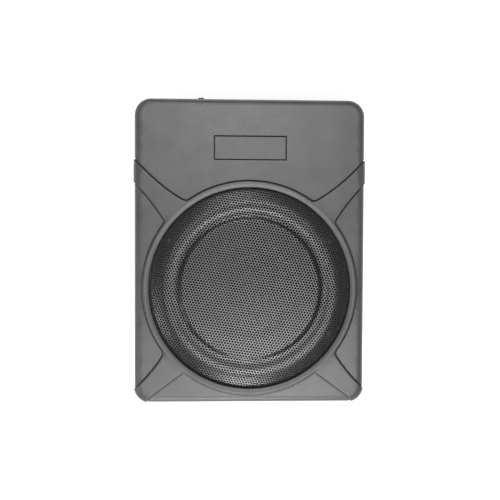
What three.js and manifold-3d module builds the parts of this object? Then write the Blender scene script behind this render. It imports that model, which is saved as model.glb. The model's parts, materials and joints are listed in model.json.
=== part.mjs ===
// A slim powered car subwoofer for the space under a seat, in millimetres, +Z up.
// The feet stand on z = 0, the controls face +Y, and the driver sits towards -Y.
import * as THREE from 'three';
import { mergeVertices } from 'three/addons/utils/BufferGeometryUtils.js';
import Module from 'manifold-3d';

const wasm = await Module();
wasm.setup();

// ---------------------------------------------------------------- driving dimensions
const BODY_WIDTH = 250;
const BODY_LENGTH = 330;
const CORNER_RADIUS = 18;
const EDGE_RADIUS = 8;
const WALL = 3;
const FOOT_HEIGHT = 3;
const FIELD_Z = 70;
const BAND_RISE = 1.7;
const BAND_PROUD = 1.1;
const GAP = 0.3;

const DRIVER_Y = -39.9;
const OPENING_RADIUS = 109.3;
const RIM_RADIUS = 116.3;
const RIM_CREST_RADIUS = 113.2;
const RIM_CREST_Z = 72.3;
const RIM_DROP = 1.3;
const GRILLE_LEDGE_Z = 63.2;
const DRIVER_SEAT_Z = 57;
const SEAT_RADIUS = 106.2;
const SEAT_INNER_RADIUS = 94.5;
const WELL_RADIUS = 114;
const GRILLE_EDGE_RADIUS = 108.7;
const GRILLE_COLLAR_RADIUS = 107.4;
const GRILLE_FOOT_Z = 64.8;
const GRILLE_TOP_Z = 74.8;
const GRILLE_SHEET = 1.2;
const BADGE_Y = 111.6;
const BADGE_WIDTH = 76.2;
const BADGE_LENGTH = 23.8;
const BADGE_RISE = 0.8;

const WELL_SIDES = 48;
const DRIVER_SIDES = 32;
const COIL_SIDES = 20;

const BASE_THICKNESS = 1.5;
const BASE_TOP_Z = FOOT_HEIGHT + BASE_THICKNESS;
const BOARD_THICKNESS = 1.6;
const BOARD_Z = 10;
const BOARD_TOP_Z = BOARD_Z + BOARD_THICKNESS + GAP;

const PANEL_FACE_Y = 159;
const PANEL_THICKNESS = 2;
const PANEL_BACK_Y = PANEL_FACE_Y - PANEL_THICKNESS;
const PANEL_HALF_WIDTH = 100;
const PANEL_LOW_Z = 11;
const PANEL_HIGH_Z = 57;
const CONTROL_Z = 44;
const KNOB_END_Y = 170;
const LEVEL_X = -54;
const CROSSOVER_X = -34;
const BASS_X = -14;
const PHASE_X = 6;
const LED_X = -72;

// The controls' end stands further out than the bands do at the other end, so the
// whole part moves back by half the difference to centre it on the origin.
const CENTRING_Y = -(KNOB_END_Y - (BODY_LENGTH / 2 + BAND_PROUD)) / 2;

const INNER_X = BODY_WIDTH / 2 - WALL;
const INNER_Y = BODY_LENGTH / 2 - WALL;
const BASE_SCREW_PLACES = [-1, 1].flatMap((side) =>
  [-152, 30, 152].map((y) => ({ x: side * 116, y })),
);
const BRACKET_HOLE_PLACES = [-1, 1].flatMap((side) =>
  [-112, 112].map((y) => ({ x: side * 95, y })),
);
const BOSS_RADIUS = 4.5;
const BOSS_BORE_RADIUS = 1.9;
const BASE_SCREW_HOLE_RADIUS = 2;
const BRACKET_HOLE_RADIUS = 2.1;
const BRACKET_PAD_RADIUS = 9;
const BRACKET_PAD_DEPTH = 0.8;
const FOOT_PLACES = [-1, 1].flatMap((side) => [-138, 138].map((y) => ({ x: side * 98, y })));
const STANDOFF_PLACES = [-1, 1].flatMap((side) => [70, 138].map((y) => ({ x: side * 98, y })));

// ---------------------------------------------------------------- materials
function finish(color, roughness, metalness) {
  return new THREE.MeshStandardMaterial({ color, roughness, metalness });
}

const coatedShell = finish(0x55585b, 0.62, 0.1);
const coatedSteel = finish(0x3e4043, 0.5, 0.6);
const zincSteel = finish(0xa9abad, 0.35, 0.9);
const blackPlastic = finish(0x161718, 0.45, 0);
const greyPlastic = finish(0x4f5255, 0.5, 0);
const blackRubber = finish(0x121212, 0.85, 0);
const foam = finish(0x1d1d1e, 0.95, 0);
const paperCone = finish(0x1b1b1c, 0.7, 0);
const spiderCloth = finish(0xb59a62, 0.9, 0);
const copper = finish(0xb5683a, 0.4, 0.8);
const ferrite = finish(0x2a2a2c, 0.6, 0.1);
const castAluminium = finish(0x9fa2a5, 0.4, 0.8);
const boardGreen = finish(0x1d5a35, 0.5, 0);
const capacitorSleeve = finish(0x23252b, 0.4, 0);
const fuseAmber = finish(0xc8801e, 0.3, 0);
const ledRed = finish(0xb3201c, 0.25, 0);

// ---------------------------------------------------------------- geometry helpers
function withoutFlatTriangles(index) {
  const kept = [];
  for (let i = 0; i < index.length; i += 3) {
    const [a, b, c] = [index[i], index[i + 1], index[i + 2]];
    if (a !== b && b !== c && c !== a) kept.push(a, b, c);
  }
  return new Uint32Array(kept);
}

function toSolid(geometry) {
  const bare = geometry.clone();
  bare.deleteAttribute('normal');
  bare.deleteAttribute('uv');
  const merged = mergeVertices(bare, 1e-4);
  return new wasm.Manifold(new wasm.Mesh({
    numProp: 3,
    vertProperties: new Float32Array(merged.attributes.position.array),
    triVerts: withoutFlatTriangles(merged.index.array),
  }));
}

function toGeometry(solid) {
  const { vertProperties, triVerts } = solid.getMesh();
  const geometry = new THREE.BufferGeometry();
  geometry.setAttribute('position', new THREE.BufferAttribute(vertProperties, 3));
  geometry.setIndex(new THREE.BufferAttribute(triVerts, 1));
  geometry.computeVertexNormals();
  return geometry;
}

function join(first, ...others) {
  return others.reduce((whole, part) => whole.add(part), first);
}

function cut(first, ...others) {
  return others.reduce((whole, part) => whole.subtract(part), first);
}

// An axis-aligned block between two corners.
function block([x0, x1], [y0, y1], [z0, z1]) {
  const geometry = new THREE.BoxGeometry(x1 - x0, y1 - y0, z1 - z0);
  geometry.translate((x0 + x1) / 2, (y0 + y1) / 2, (z0 + z1) / 2);
  return toSolid(geometry);
}

// A block centred on x, for what sits in the end panel.
function slab(centreX, width, spanY, spanZ) {
  return block([centreX - width / 2, centreX + width / 2], spanY, spanZ);
}

// An upright round bar.
function post(x, y, radius, [z0, z1], sides = 16) {
  const geometry = new THREE.CylinderGeometry(radius, radius, z1 - z0, sides);
  geometry.rotateX(Math.PI / 2);
  geometry.translate(x, y, (z0 + z1) / 2);
  return toSolid(geometry);
}

// A round bar that points out of the end panel.
function peg(x, z, radius, [y0, y1], sides = 16) {
  const geometry = new THREE.CylinderGeometry(radius, radius, y1 - y0, sides);
  geometry.translate(x, (y0 + y1) / 2, z);
  return toSolid(geometry);
}

// A shape drawn in X and Y, raised from one height to another.
function prism(shape, [z0, z1], curveSegments = 8) {
  const geometry = new THREE.ExtrudeGeometry(shape, {
    depth: z1 - z0, bevelEnabled: false, curveSegments,
  });
  geometry.translate(0, 0, z0);
  return toSolid(geometry);
}

// A profile of [radius, height] points, counter-clockwise, turned about +Z.
function revolve(profile, sides, x = 0, y = 0) {
  const points = profile.map(([radius, height]) => new THREE.Vector2(radius, height));
  const geometry = new THREE.LatheGeometry(points, sides);
  geometry.rotateX(Math.PI / 2);
  geometry.translate(x, y, 0);
  return toSolid(geometry);
}

// The same with the profile closed on itself, for rings.
function revolveRing(profile, sides, x = 0, y = 0) {
  return revolve([...profile, profile[0]], sides, x, y);
}

function roundedRectangle(width, length, radius) {
  const [x, y] = [width / 2, length / 2];
  const shape = new THREE.Shape();
  shape.moveTo(-x + radius, -y);
  shape.lineTo(x - radius, -y);
  shape.absarc(x - radius, -y + radius, radius, -Math.PI / 2, 0);
  shape.lineTo(x, y - radius);
  shape.absarc(x - radius, y - radius, radius, 0, Math.PI / 2);
  shape.lineTo(-x + radius, y);
  shape.absarc(-x + radius, y - radius, radius, Math.PI / 2, Math.PI);
  shape.lineTo(-x, -y + radius);
  shape.absarc(-x + radius, -y + radius, radius, Math.PI, Math.PI * 1.5);
  shape.closePath();
  return shape;
}

// A slab with rounded corners and a rounded top edge, flat underneath.
function roundedBody(width, length, cornerRadius, edgeRadius, [z0, z1]) {
  const inset = roundedRectangle(
    width - 2 * edgeRadius, length - 2 * edgeRadius, cornerRadius - edgeRadius,
  );
  const geometry = new THREE.ExtrudeGeometry(inset, {
    depth: z1 - z0,
    bevelSize: edgeRadius,
    bevelThickness: edgeRadius,
    bevelSegments: 3,
    curveSegments: 5,
  });
  geometry.translate(0, 0, z0 - edgeRadius);
  const below = block([-width, width], [-length, length], [z0 - 3 * edgeRadius, z0]);
  return cut(toSolid(geometry), below);
}

// ---------------------------------------------------------------- housing
// The bands' outlines, about the grille's centre. They run past the sides, where they
// are cut to the body's own rounded form.
function upperBand(side) {
  const shape = new THREE.Shape();
  shape.moveTo(side * 130, 145.4);
  shape.lineTo(side * 123.3, 138);
  shape.quadraticCurveTo(side * 95.7, 107.6, side * 69.5, 94);
  shape.lineTo(side * 66.4, 89.6);
  shape.lineTo(side * 88, 68.8);
  shape.lineTo(side * 91.8, 71.8);
  shape.quadraticCurveTo(side * 105.5, 94.2, side * 123.4, 112.3);
  shape.lineTo(side * 130, 118.9);
  shape.closePath();
  return shape;
}

function lowerBand(side) {
  const shape = new THREE.Shape();
  shape.moveTo(side * 93.4, -72);
  shape.quadraticCurveTo(side * 104.6, -90.3, side * 123.9, -109);
  shape.lineTo(side * 130, -115);
  shape.lineTo(side * 130, -132);
  shape.lineTo(side * 116.6, -132);
  shape.lineTo(side * 107.3, -118.2);
  shape.lineTo(side * 71.1, -91.5);
  shape.lineTo(side * 67.8, -87.3);
  shape.lineTo(side * 89.4, -68.9);
  shape.closePath();
  return shape;
}

function bands() {
  const grown = roundedBody(
    BODY_WIDTH + 2 * BAND_PROUD, BODY_LENGTH + 2 * BAND_PROUD,
    CORNER_RADIUS + BAND_PROUD, EDGE_RADIUS + BAND_PROUD,
    [FOOT_HEIGHT, FIELD_Z + BAND_RISE],
  );
  const outlines = [-1, 1].flatMap((side) => [upperBand(side), lowerBand(side)]);
  const prisms = outlines.map((outline) =>
    prism(outline, [FOOT_HEIGHT - 1, FIELD_Z + 5]).translate([0, DRIVER_Y, 0]),
  );
  return join(...prisms).intersect(grown);
}

function rim() {
  return revolveRing([
    [OPENING_RADIUS, 60],
    [RIM_RADIUS, 60],
    [RIM_RADIUS, FIELD_Z + BAND_RISE],
    [RIM_CREST_RADIUS, RIM_CREST_Z],
    [111.2, RIM_CREST_Z - 0.35],
    [OPENING_RADIUS, RIM_CREST_Z - RIM_DROP],
  ], WELL_SIDES, 0, DRIVER_Y);
}

// The well that carries the grille on its upper ledge and the driver on its lower one.
function driverWell() {
  return revolveRing([
    [SEAT_INNER_RADIUS, DRIVER_SEAT_Z - WALL],
    [WELL_RADIUS, DRIVER_SEAT_Z - WALL],
    [WELL_RADIUS, FIELD_Z - 1],
    [OPENING_RADIUS, FIELD_Z - 1],
    [OPENING_RADIUS, GRILLE_LEDGE_Z],
    [SEAT_RADIUS, GRILLE_LEDGE_Z],
    [SEAT_RADIUS, DRIVER_SEAT_Z],
    [SEAT_INNER_RADIUS, DRIVER_SEAT_Z],
  ], WELL_SIDES, 0, DRIVER_Y);
}

// Columns that the base screws turn into, and the frame and posts that hold the end panel.
function bosses() {
  const columns = BASE_SCREW_PLACES.map(({ x, y }) =>
    post(x, y, BOSS_RADIUS, [BASE_TOP_Z + GAP, FIELD_Z - WALL + 1], 10),
  );
  const panelPosts = [-1, 1].map((side) =>
    slab(side * 98, 16, [147, PANEL_BACK_Y - GAP], [8, FIELD_Z - WALL + 1]),
  );
  const panelFrame = slab(
    0, 2 * PANEL_HALF_WIDTH + 12, [PANEL_BACK_Y - 2, INNER_Y + 1],
    [BASE_TOP_Z + GAP, FIELD_Z - WALL + 1],
  );
  return join(...columns, panelFrame, ...panelPosts);
}

function bossHoles() {
  return join(...BASE_SCREW_PLACES.map(({ x, y }) => post(x, y, BOSS_BORE_RADIUS, [0, 18], 8)));
}

function housing() {
  const shell = roundedBody(
    BODY_WIDTH, BODY_LENGTH, CORNER_RADIUS, EDGE_RADIUS, [FOOT_HEIGHT, FIELD_Z],
  );
  const cavity = roundedBody(
    2 * INNER_X, 2 * INNER_Y, CORNER_RADIUS - WALL, EDGE_RADIUS - WALL,
    [FOOT_HEIGHT - 1, FIELD_Z - WALL],
  );
  const opening = post(0, DRIVER_Y, OPENING_RADIUS, [DRIVER_SEAT_Z, FIELD_Z + 20], WELL_SIDES);
  const panelMouth = slab(
    0, 2 * PANEL_HALF_WIDTH, [PANEL_BACK_Y - GAP, BODY_LENGTH], [PANEL_LOW_Z, PANEL_HIGH_Z],
  );
  const boardMouth = slab(0, 178, [PANEL_BACK_Y - 3, PANEL_BACK_Y], [PANEL_LOW_Z, PANEL_HIGH_Z]);
  const badgeRecess = block(...badgeSpan(GAP), [FIELD_Z - 1, FIELD_Z + 1]);
  const hollow = cut(join(shell, bands()), cavity, opening);
  return cut(join(hollow, rim(), driverWell(), bosses()), bossHoles(), panelMouth, boardMouth, badgeRecess);
}

// The badge's extent in X and Y, grown by a margin on each side.
function badgeSpan(margin) {
  const [halfWidth, halfLength] = [BADGE_WIDTH / 2 + margin, BADGE_LENGTH / 2 + margin];
  return [[-halfWidth, halfWidth], [BADGE_Y - halfLength, BADGE_Y + halfLength]];
}

function badgePlate() {
  return block(...badgeSpan(0), [FIELD_Z - 1 + GAP, FIELD_Z + BADGE_RISE]);
}

// ---------------------------------------------------------------- base
function basePlate() {
  const outline = roundedRectangle(
    2 * (INNER_X - GAP), 2 * (INNER_Y - GAP), CORNER_RADIUS - WALL - GAP,
  );
  const sheet = prism(outline, [FOOT_HEIGHT, BASE_TOP_Z], 6);
  const standoffs = STANDOFF_PLACES.map(({ x, y }) =>
    post(x, y, 3.5, [BASE_TOP_Z - 0.5, BOARD_Z - GAP], 8),
  );
  const screwHoles = BASE_SCREW_PLACES.map(({ x, y }) =>
    post(x, y, BASE_SCREW_HOLE_RADIUS, [0, 8], 8),
  );
  const bracketPads = BRACKET_HOLE_PLACES.map(({ x, y }) =>
    post(x, y, BRACKET_PAD_RADIUS, [FOOT_HEIGHT - BRACKET_PAD_DEPTH, BASE_TOP_Z - 0.5]),
  );
  const bracketHoles = BRACKET_HOLE_PLACES.map(({ x, y }) =>
    post(x, y, BRACKET_HOLE_RADIUS, [0, 8], 8),
  );
  return cut(join(sheet, ...standoffs, ...bracketPads), ...screwHoles, ...bracketHoles);
}

function foot({ x, y }) {
  const top = FOOT_HEIGHT - GAP;
  return revolve([[0, 0], [8, 0], [9, 0.8], [9, top], [0, top]], 14, x, y);
}

// A pan-head screw driven upwards from under the base.
function baseScrew({ x, y }) {
  return revolve([
    [0, 1], [3, 1], [3.6, 1.6], [3.6, FOOT_HEIGHT - GAP], [1.5, FOOT_HEIGHT - GAP],
    [1.5, 14], [0, 15.5],
  ], 9, x, y);
}

// ---------------------------------------------------------------- grille
// A shallow dome with a raised middle, a trough round it, and a collar turned down at the
// edge to sit on the foam ring.
function grille() {
  const top = [
    [GRILLE_EDGE_RADIUS, 67.2], [GRILLE_COLLAR_RADIUS, 68.3], [104, 70], [96, 73.1], [87, 73.7],
    [80, 72.8], [76.8, 73.1], [74.8, 75], [54, 75], [45, GRILLE_TOP_Z],
  ];
  const underside = top.slice(1).reverse().map(([radius, z]) => [radius, z - GRILLE_SHEET]);
  const collar = [[GRILLE_COLLAR_RADIUS, GRILLE_FOOT_Z], [GRILLE_EDGE_RADIUS, GRILLE_FOOT_Z]];
  return revolve(
    [[0, GRILLE_TOP_Z - GRILLE_SHEET], ...underside, ...collar, ...top, [0, GRILLE_TOP_Z]],
    DRIVER_SIDES, 0, DRIVER_Y,
  );
}

function grilleFoamRing() {
  const [low, high] = [GRILLE_LEDGE_Z + GAP, GRILLE_FOOT_Z - GAP];
  const inner = 106.6;
  return revolveRing(
    [[inner, low], [GRILLE_EDGE_RADIUS, low], [GRILLE_EDGE_RADIUS, high], [inner, high]],
    DRIVER_SIDES, 0, DRIVER_Y,
  );
}

// ---------------------------------------------------------------- driver
const FLANGE_Z = DRIVER_SEAT_Z + GAP;
const FLANGE_TOP_Z = FLANGE_Z + 2.5;
const LIP_Z = FLANGE_TOP_Z + GAP;
const DRIVER_SCREW_RADIUS = 101.5;
const DRIVER_SCREW_COUNT = 6;
const DRIVER_SCREW_HOLE_RADIUS = 2.4;
const GASKET_THICKNESS = 1.8;

function driverScrewPlace(number) {
  const angle = ((number + 0.5) * 2 * Math.PI) / DRIVER_SCREW_COUNT;
  return {
    x: DRIVER_SCREW_RADIUS * Math.cos(angle),
    y: DRIVER_Y + DRIVER_SCREW_RADIUS * Math.sin(angle),
  };
}

function driverScrewHoles() {
  return Array.from({ length: DRIVER_SCREW_COUNT }, (_, number) => {
    const { x, y } = driverScrewPlace(number);
    return post(x, y, DRIVER_SCREW_HOLE_RADIUS, [DRIVER_SEAT_Z - 6, FIELD_Z], 8);
  });
}

function basketWindow(number) {
  const middle = (number * Math.PI) / 3;
  const half = THREE.MathUtils.degToRad(20);
  const shape = new THREE.Shape();
  shape.absarc(0, 0, 87, middle - half, middle + half, false);
  shape.absarc(0, 0, 62, middle + half, middle - half, true);
  shape.closePath();
  return prism(shape, [30, 60], 3).translate([0, DRIVER_Y, 0]);
}

function basket() {
  const shell = revolveRing([
    [24, 36.1], [48, 36.1], [50, 38.9], [59, 38.9], [92, 54.5], [93.6, FLANGE_Z],
    [105.5, FLANGE_Z], [105.5, FLANGE_TOP_Z], [91.5, FLANGE_TOP_Z], [90.3, 56],
    [57.5, 41.4], [49, 41.4], [46.8, 38.6], [24, 38.6],
  ], DRIVER_SIDES, 0, DRIVER_Y);
  const windows = Array.from({ length: 6 }, (_, number) => basketWindow(number));
  return cut(shell, ...windows, ...driverScrewHoles());
}

function driverGasket() {
  const ring = revolveRing([
    [98, LIP_Z], [105.2, LIP_Z], [105.2, LIP_Z + GASKET_THICKNESS], [98, LIP_Z + GASKET_THICKNESS],
  ], DRIVER_SIDES, 0, DRIVER_Y);
  return cut(ring, ...driverScrewHoles());
}

function driverScrew(number) {
  const { x, y } = driverScrewPlace(number);
  const seat = LIP_Z + GASKET_THICKNESS + GAP;
  return revolve([
    [0, DRIVER_SEAT_Z + 0.4], [1.9, DRIVER_SEAT_Z + 1], [1.9, seat], [3.6, seat],
    [3.6, seat + 1.4], [3, seat + 2], [0, seat + 2],
  ], 9, x, y);
}

// A half-round rubber roll between two flat lips.
function surround() {
  const [inner, middle, outer] = [75, 84.75, 97];
  const thickness = 1;
  const arcSteps = 4;
  const arc = (halfWidth, rise, base) => Array.from({ length: arcSteps + 1 }, (_, step) => {
    const angle = (Math.PI * step) / arcSteps;
    return [middle - halfWidth * Math.cos(angle), base + rise * Math.sin(angle)];
  });
  const profile = [
    [inner, LIP_Z], ...arc(5.25, 4.8, LIP_Z), [outer, LIP_Z], [outer, LIP_Z + thickness],
    ...arc(6.25, 5.8, LIP_Z + thickness - 0.01).reverse(), [inner, LIP_Z + thickness],
  ];
  return revolveRing(profile, DRIVER_SIDES, 0, DRIVER_Y);
}

function cone() {
  return revolveRing([
    [20.1, 46.6], [74, 58.4], [78.5, 58.9], [78.5, LIP_Z - GAP], [73.6, LIP_Z - GAP],
    [20.1, 48],
  ], DRIVER_SIDES, 0, DRIVER_Y);
}

function dustCap() {
  return revolve([
    [0, 55.4], [12, 54.6], [22, 52.6], [28.6, 51], [30.2, 51], [22.8, 53.7], [12.4, 55.8],
    [0, 56.6],
  ], COIL_SIDES, 0, DRIVER_Y);
}

function voiceCoil() {
  return revolveRing([
    [19, 25], [20.5, 25], [20.5, 37], [19.8, 37], [19.8, 49], [19, 49],
  ], COIL_SIDES, 0, DRIVER_Y);
}

// The corrugated cloth disc that centres the coil.
function spider() {
  const [low, thickness, waves] = [41.7, 0.8, 2];
  const [firstRadius, waveWidth, height] = [24, 12, 2];
  const ridge = (base) => Array.from({ length: 2 * waves + 1 }, (_, step) => [
    firstRadius + (step * waveWidth) / 2, base + (step % 2) * height,
  ]);
  return revolveRing([
    [20.3, low], ...ridge(low), [56, low], [56, low + thickness],
    ...ridge(low + thickness).reverse(), [20.3, low + thickness],
  ], COIL_SIDES, 0, DRIVER_Y);
}

function topPlate() {
  return revolveRing([[21.2, 29.8], [46, 29.8], [46, 35.8], [21.2, 35.8]], DRIVER_SIDES, 0, DRIVER_Y);
}

function magnet() {
  return revolveRing([[24, 15.8], [50, 15.8], [50, 29.5], [24, 29.5]], DRIVER_SIDES, 0, DRIVER_Y);
}

function poleYoke() {
  return revolve([
    [0, 9.5], [45, 9.5], [46, 10.5], [46, 15.5], [18.3, 15.5], [18.3, 35.5], [0, 35.5],
  ], DRIVER_SIDES, 0, DRIVER_Y);
}

function driverTerminal() {
  const y = DRIVER_Y + 68;
  return join(
    block([-9, 9], [y, y + 6], [33, 42]),
    slab(-5, 3, [y + 5, y + 12], [36, 36.8]),
    slab(5, 3, [y + 5, y + 12], [36, 36.8]),
  );
}

// ---------------------------------------------------------------- amplifier
function ampBoard() {
  return block([-106, 106], [62, 146.5], [BOARD_Z, BOARD_Z + BOARD_THICKNESS]);
}

function controlBoard() {
  return block([-88, 18], [140, 141.6], [32, 54]);
}

function toroid(x, y, innerRadius, outerRadius, height) {
  const [low, high] = [BOARD_TOP_Z, BOARD_TOP_Z + height];
  const round = 3;
  return revolveRing([
    [innerRadius + round, low], [outerRadius - round, low], [outerRadius, low + round],
    [outerRadius, high - round], [outerRadius - round, high], [innerRadius + round, high],
    [innerRadius, high - round], [innerRadius, low + round],
  ], 16, x, y);
}

function capacitor(x, y) {
  return revolve([
    [0, BOARD_TOP_Z], [9, BOARD_TOP_Z], [9, 43], [8.2, 43.8], [0, 43.8],
  ], 14, x, y);
}

// A thick bar on the side wall, which carries the transistors' heat into the shell.
function heatSinkBar() {
  return block([-INNER_X + GAP, -114], [72, 138], [12, 40]);
}

function transistor(y) {
  const body = block([-113.7, -109.2], [y - 5, y + 5], [16, 31]);
  const legs = join(
    block([-112, -111.2], [y - 3, y + 3], [12.5, 16.5]),
    block([-112, -104], [y - 3, y + 3], [12.5, 13.3]),
  );
  return join(body, legs);
}

// ---------------------------------------------------------------- end panel
const RCA_Z = 22;
const RCA_HOLE_RADIUS = 4.8;
const RCA_PLACES = { left: -54, right: -34 };
const SPEAKER_SOCKET = { x: -8, width: 22, low: 15, high: 29 };
const REMOTE_SOCKET = { x: -79, width: 15, low: 15, high: 28 };
const FUSE_HOLDER = { x: 20.5, width: 25, low: 20, high: 31 };
const POWER_TERMINAL = { x: 63, width: 46, low: 16, high: 40 };
const POTENTIOMETERS = { level: LEVEL_X, crossover: CROSSOVER_X, bass: BASS_X };
const KNOB_RADIUS = 3.2;
const KNOB_HOLE_RADIUS = 3.8;
const LED_RADIUS = 1.5;
const SOCKET_BACK_Y = 143;
const SOCKET_FRONT_Y = 161;
const POLE_OFFSETS = [-14, 0, 14];
const PANEL_SCREW_PLACES = [-1, 1].flatMap((side) => [17, 51].map((z) => ({ x: side * 95, z })));

function panelCutout({ x, width, low, high }) {
  const through = [PANEL_BACK_Y - 1, PANEL_FACE_Y + 1];
  return slab(x, width + 2 * GAP, through, [low - GAP, high + GAP]);
}

function endPanel() {
  const through = [PANEL_BACK_Y - 1, PANEL_FACE_Y + 1];
  const sheet = block(
    [-PANEL_HALF_WIDTH + GAP, PANEL_HALF_WIDTH - GAP], [PANEL_BACK_Y, PANEL_FACE_Y],
    [PANEL_LOW_Z + GAP, PANEL_HIGH_Z - GAP],
  );
  const sockets = [SPEAKER_SOCKET, REMOTE_SOCKET, FUSE_HOLDER, POWER_TERMINAL].map(panelCutout);
  const jacks = Object.values(RCA_PLACES).map((x) => peg(x, RCA_Z, RCA_HOLE_RADIUS, through));
  const shafts = Object.values(POTENTIOMETERS).map((x) =>
    peg(x, CONTROL_Z, KNOB_HOLE_RADIUS, through),
  );
  const screws = PANEL_SCREW_PLACES.map(({ x, z }) => peg(x, z, 1.7, through, 12));
  const phaseSlot = slab(PHASE_X, 9, through, [CONTROL_Z - 2.4, CONTROL_Z + 2.4]);
  const ledHole = peg(LED_X, CONTROL_Z, LED_RADIUS + GAP, through, 12);
  return cut(sheet, ...sockets, ...jacks, ...shafts, ...screws, phaseSlot, ledHole);
}

// An open-fronted socket: a block with a pocket that opens towards +Y.
function socket({ x, width, low, high }, backY, frontY, pocketDepth, rim = 2) {
  const outside = slab(x, width, [backY, frontY], [low, high]);
  const pocket = slab(
    x, width - 2 * rim, [frontY - pocketDepth, frontY + 1], [low + rim, high - rim],
  );
  return cut(outside, pocket);
}

function powerTerminal() {
  const { x, width, low, high } = POWER_TERMINAL;
  const outside = slab(x, width, [140, 166], [low, high]);
  const wirePorts = POLE_OFFSETS.map((offset) => slab(x + offset, 9, [152, 167], [low + 2, low + 11]));
  const screwWells = POLE_OFFSETS.map((offset) => peg(x + offset, high - 6, 3.6, [163, 167], 14));
  return cut(outside, ...wirePorts, ...screwWells);
}

function fuseHolder() {
  const { x, low, high } = FUSE_HOLDER;
  const bladeZ = (low + high) / 2;
  const blades = [-1, 1].map((side) =>
    slab(x + side * 7, 6, [147, 156], [bladeZ - 0.8, bladeZ + 0.8]),
  );
  return cut(socket(FUSE_HOLDER, SOCKET_BACK_Y, SOCKET_FRONT_Y, 6), ...blades);
}

// A plug-in blade fuse: a waisted grip with two flat blades.
function fuse() {
  const { x, low, high } = FUSE_HOLDER;
  const middle = (low + high) / 2;
  const body = slab(x, 19.2, [155.3, 164], [middle - 2.2, middle + 2.2]);
  const grip = slab(x, 19.2, [163.5, 167], [middle - 3, middle + 3]);
  const blades = [-1, 1].map((side) =>
    slab(x + side * 7, 5, [148.5, 156], [middle - 0.4, middle + 0.4]),
  );
  return join(body, grip, ...blades);
}

function rcaJack(x) {
  const body = slab(x, 11, [140, PANEL_BACK_Y - GAP], [BOARD_TOP_Z, RCA_Z + 6]);
  const barrel = peg(x, RCA_Z, 4.15, [PANEL_BACK_Y - 1, 168.5], 20);
  const pinHole = peg(x, RCA_Z, 1.6, [160, 169], 12);
  return cut(join(body, barrel), pinHole);
}

const POT_FRONT_Y = PANEL_BACK_Y - GAP;

function potentiometer(x) {
  const body = slab(x, 10, [142, POT_FRONT_Y], [CONTROL_Z - 6, CONTROL_Z + 5]);
  return cut(body, peg(x, CONTROL_Z, 2.3, [POT_FRONT_Y - 7, POT_FRONT_Y + 1]));
}

// A shaft that sits in its potentiometer, with a grip and a slot across its end.
function knob(x, endY) {
  const shaft = peg(x, CONTROL_Z, 1.8, [POT_FRONT_Y - 6, POT_FRONT_Y + 1], 12);
  const grip = peg(x, CONTROL_Z, KNOB_RADIUS, [POT_FRONT_Y + GAP, endY], 18);
  const slot = slab(x, 1, [endY - 0.8, endY + 1], [CONTROL_Z - 4, CONTROL_Z + 4]);
  return cut(join(shaft, grip), slot);
}

function phaseSwitch() {
  const outside = slab(PHASE_X, 14, [142, POT_FRONT_Y], [CONTROL_Z - 4, CONTROL_Z + 4]);
  const track = slab(PHASE_X, 10, [152, POT_FRONT_Y + 1], [CONTROL_Z - 2, CONTROL_Z + 2]);
  return cut(outside, track);
}

function phaseSlider() {
  const atRest = PHASE_X - 2;
  return slab(atRest, 3.6, [152.5, 161], [CONTROL_Z - 1.6, CONTROL_Z + 1.6]);
}

function powerLed() {
  return peg(LED_X, CONTROL_Z, LED_RADIUS, [142, PANEL_FACE_Y + 1], 12);
}

// ---------------------------------------------------------------- assembly
const assembly = new THREE.Group();
assembly.position.y = CENTRING_Y;

function place(name, solid, material) {
  const mesh = new THREE.Mesh(toGeometry(solid), material);
  mesh.name = name;
  assembly.add(mesh);
}

place('housing', housing(), coatedShell);
place('badge_plate', badgePlate(), coatedShell);
place('base_plate', basePlate(), coatedSteel);
FOOT_PLACES.forEach((spot, i) => place(`foot_${i + 1}`, foot(spot), blackRubber));
BASE_SCREW_PLACES.forEach((spot, i) => place(`base_screw_${i + 1}`, baseScrew(spot), coatedSteel));

place('grille', grille(), coatedSteel);
place('grille_foam_ring', grilleFoamRing(), foam);

place('basket', basket(), coatedSteel);
place('driver_gasket', driverGasket(), foam);
place('surround', surround(), blackRubber);
place('cone', cone(), paperCone);
place('dust_cap', dustCap(), paperCone);
place('voice_coil', voiceCoil(), copper);
place('spider', spider(), spiderCloth);
place('top_plate', topPlate(), zincSteel);
place('magnet', magnet(), ferrite);
place('pole_yoke', poleYoke(), zincSteel);
place('driver_terminal', driverTerminal(), blackPlastic);
for (let number = 0; number < DRIVER_SCREW_COUNT; number += 1) {
  place(`driver_screw_${number + 1}`, driverScrew(number), coatedSteel);
}

place('amp_board', ampBoard(), boardGreen);
place('control_board', controlBoard(), boardGreen);
place('heat_sink_bar', heatSinkBar(), castAluminium);
place('transistor_left', transistor(90), blackPlastic);
place('transistor_right', transistor(118), blackPlastic);
place('transformer', toroid(28, 100, 9, 23, 22), copper);
place('output_inductor', toroid(-24, 96, 6, 15, 14), copper);
place('capacitor_1', capacitor(68, 82), capacitorSleeve);
place('capacitor_2', capacitor(90, 82), capacitorSleeve);
place('capacitor_3', capacitor(68, 106), capacitorSleeve);

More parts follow.
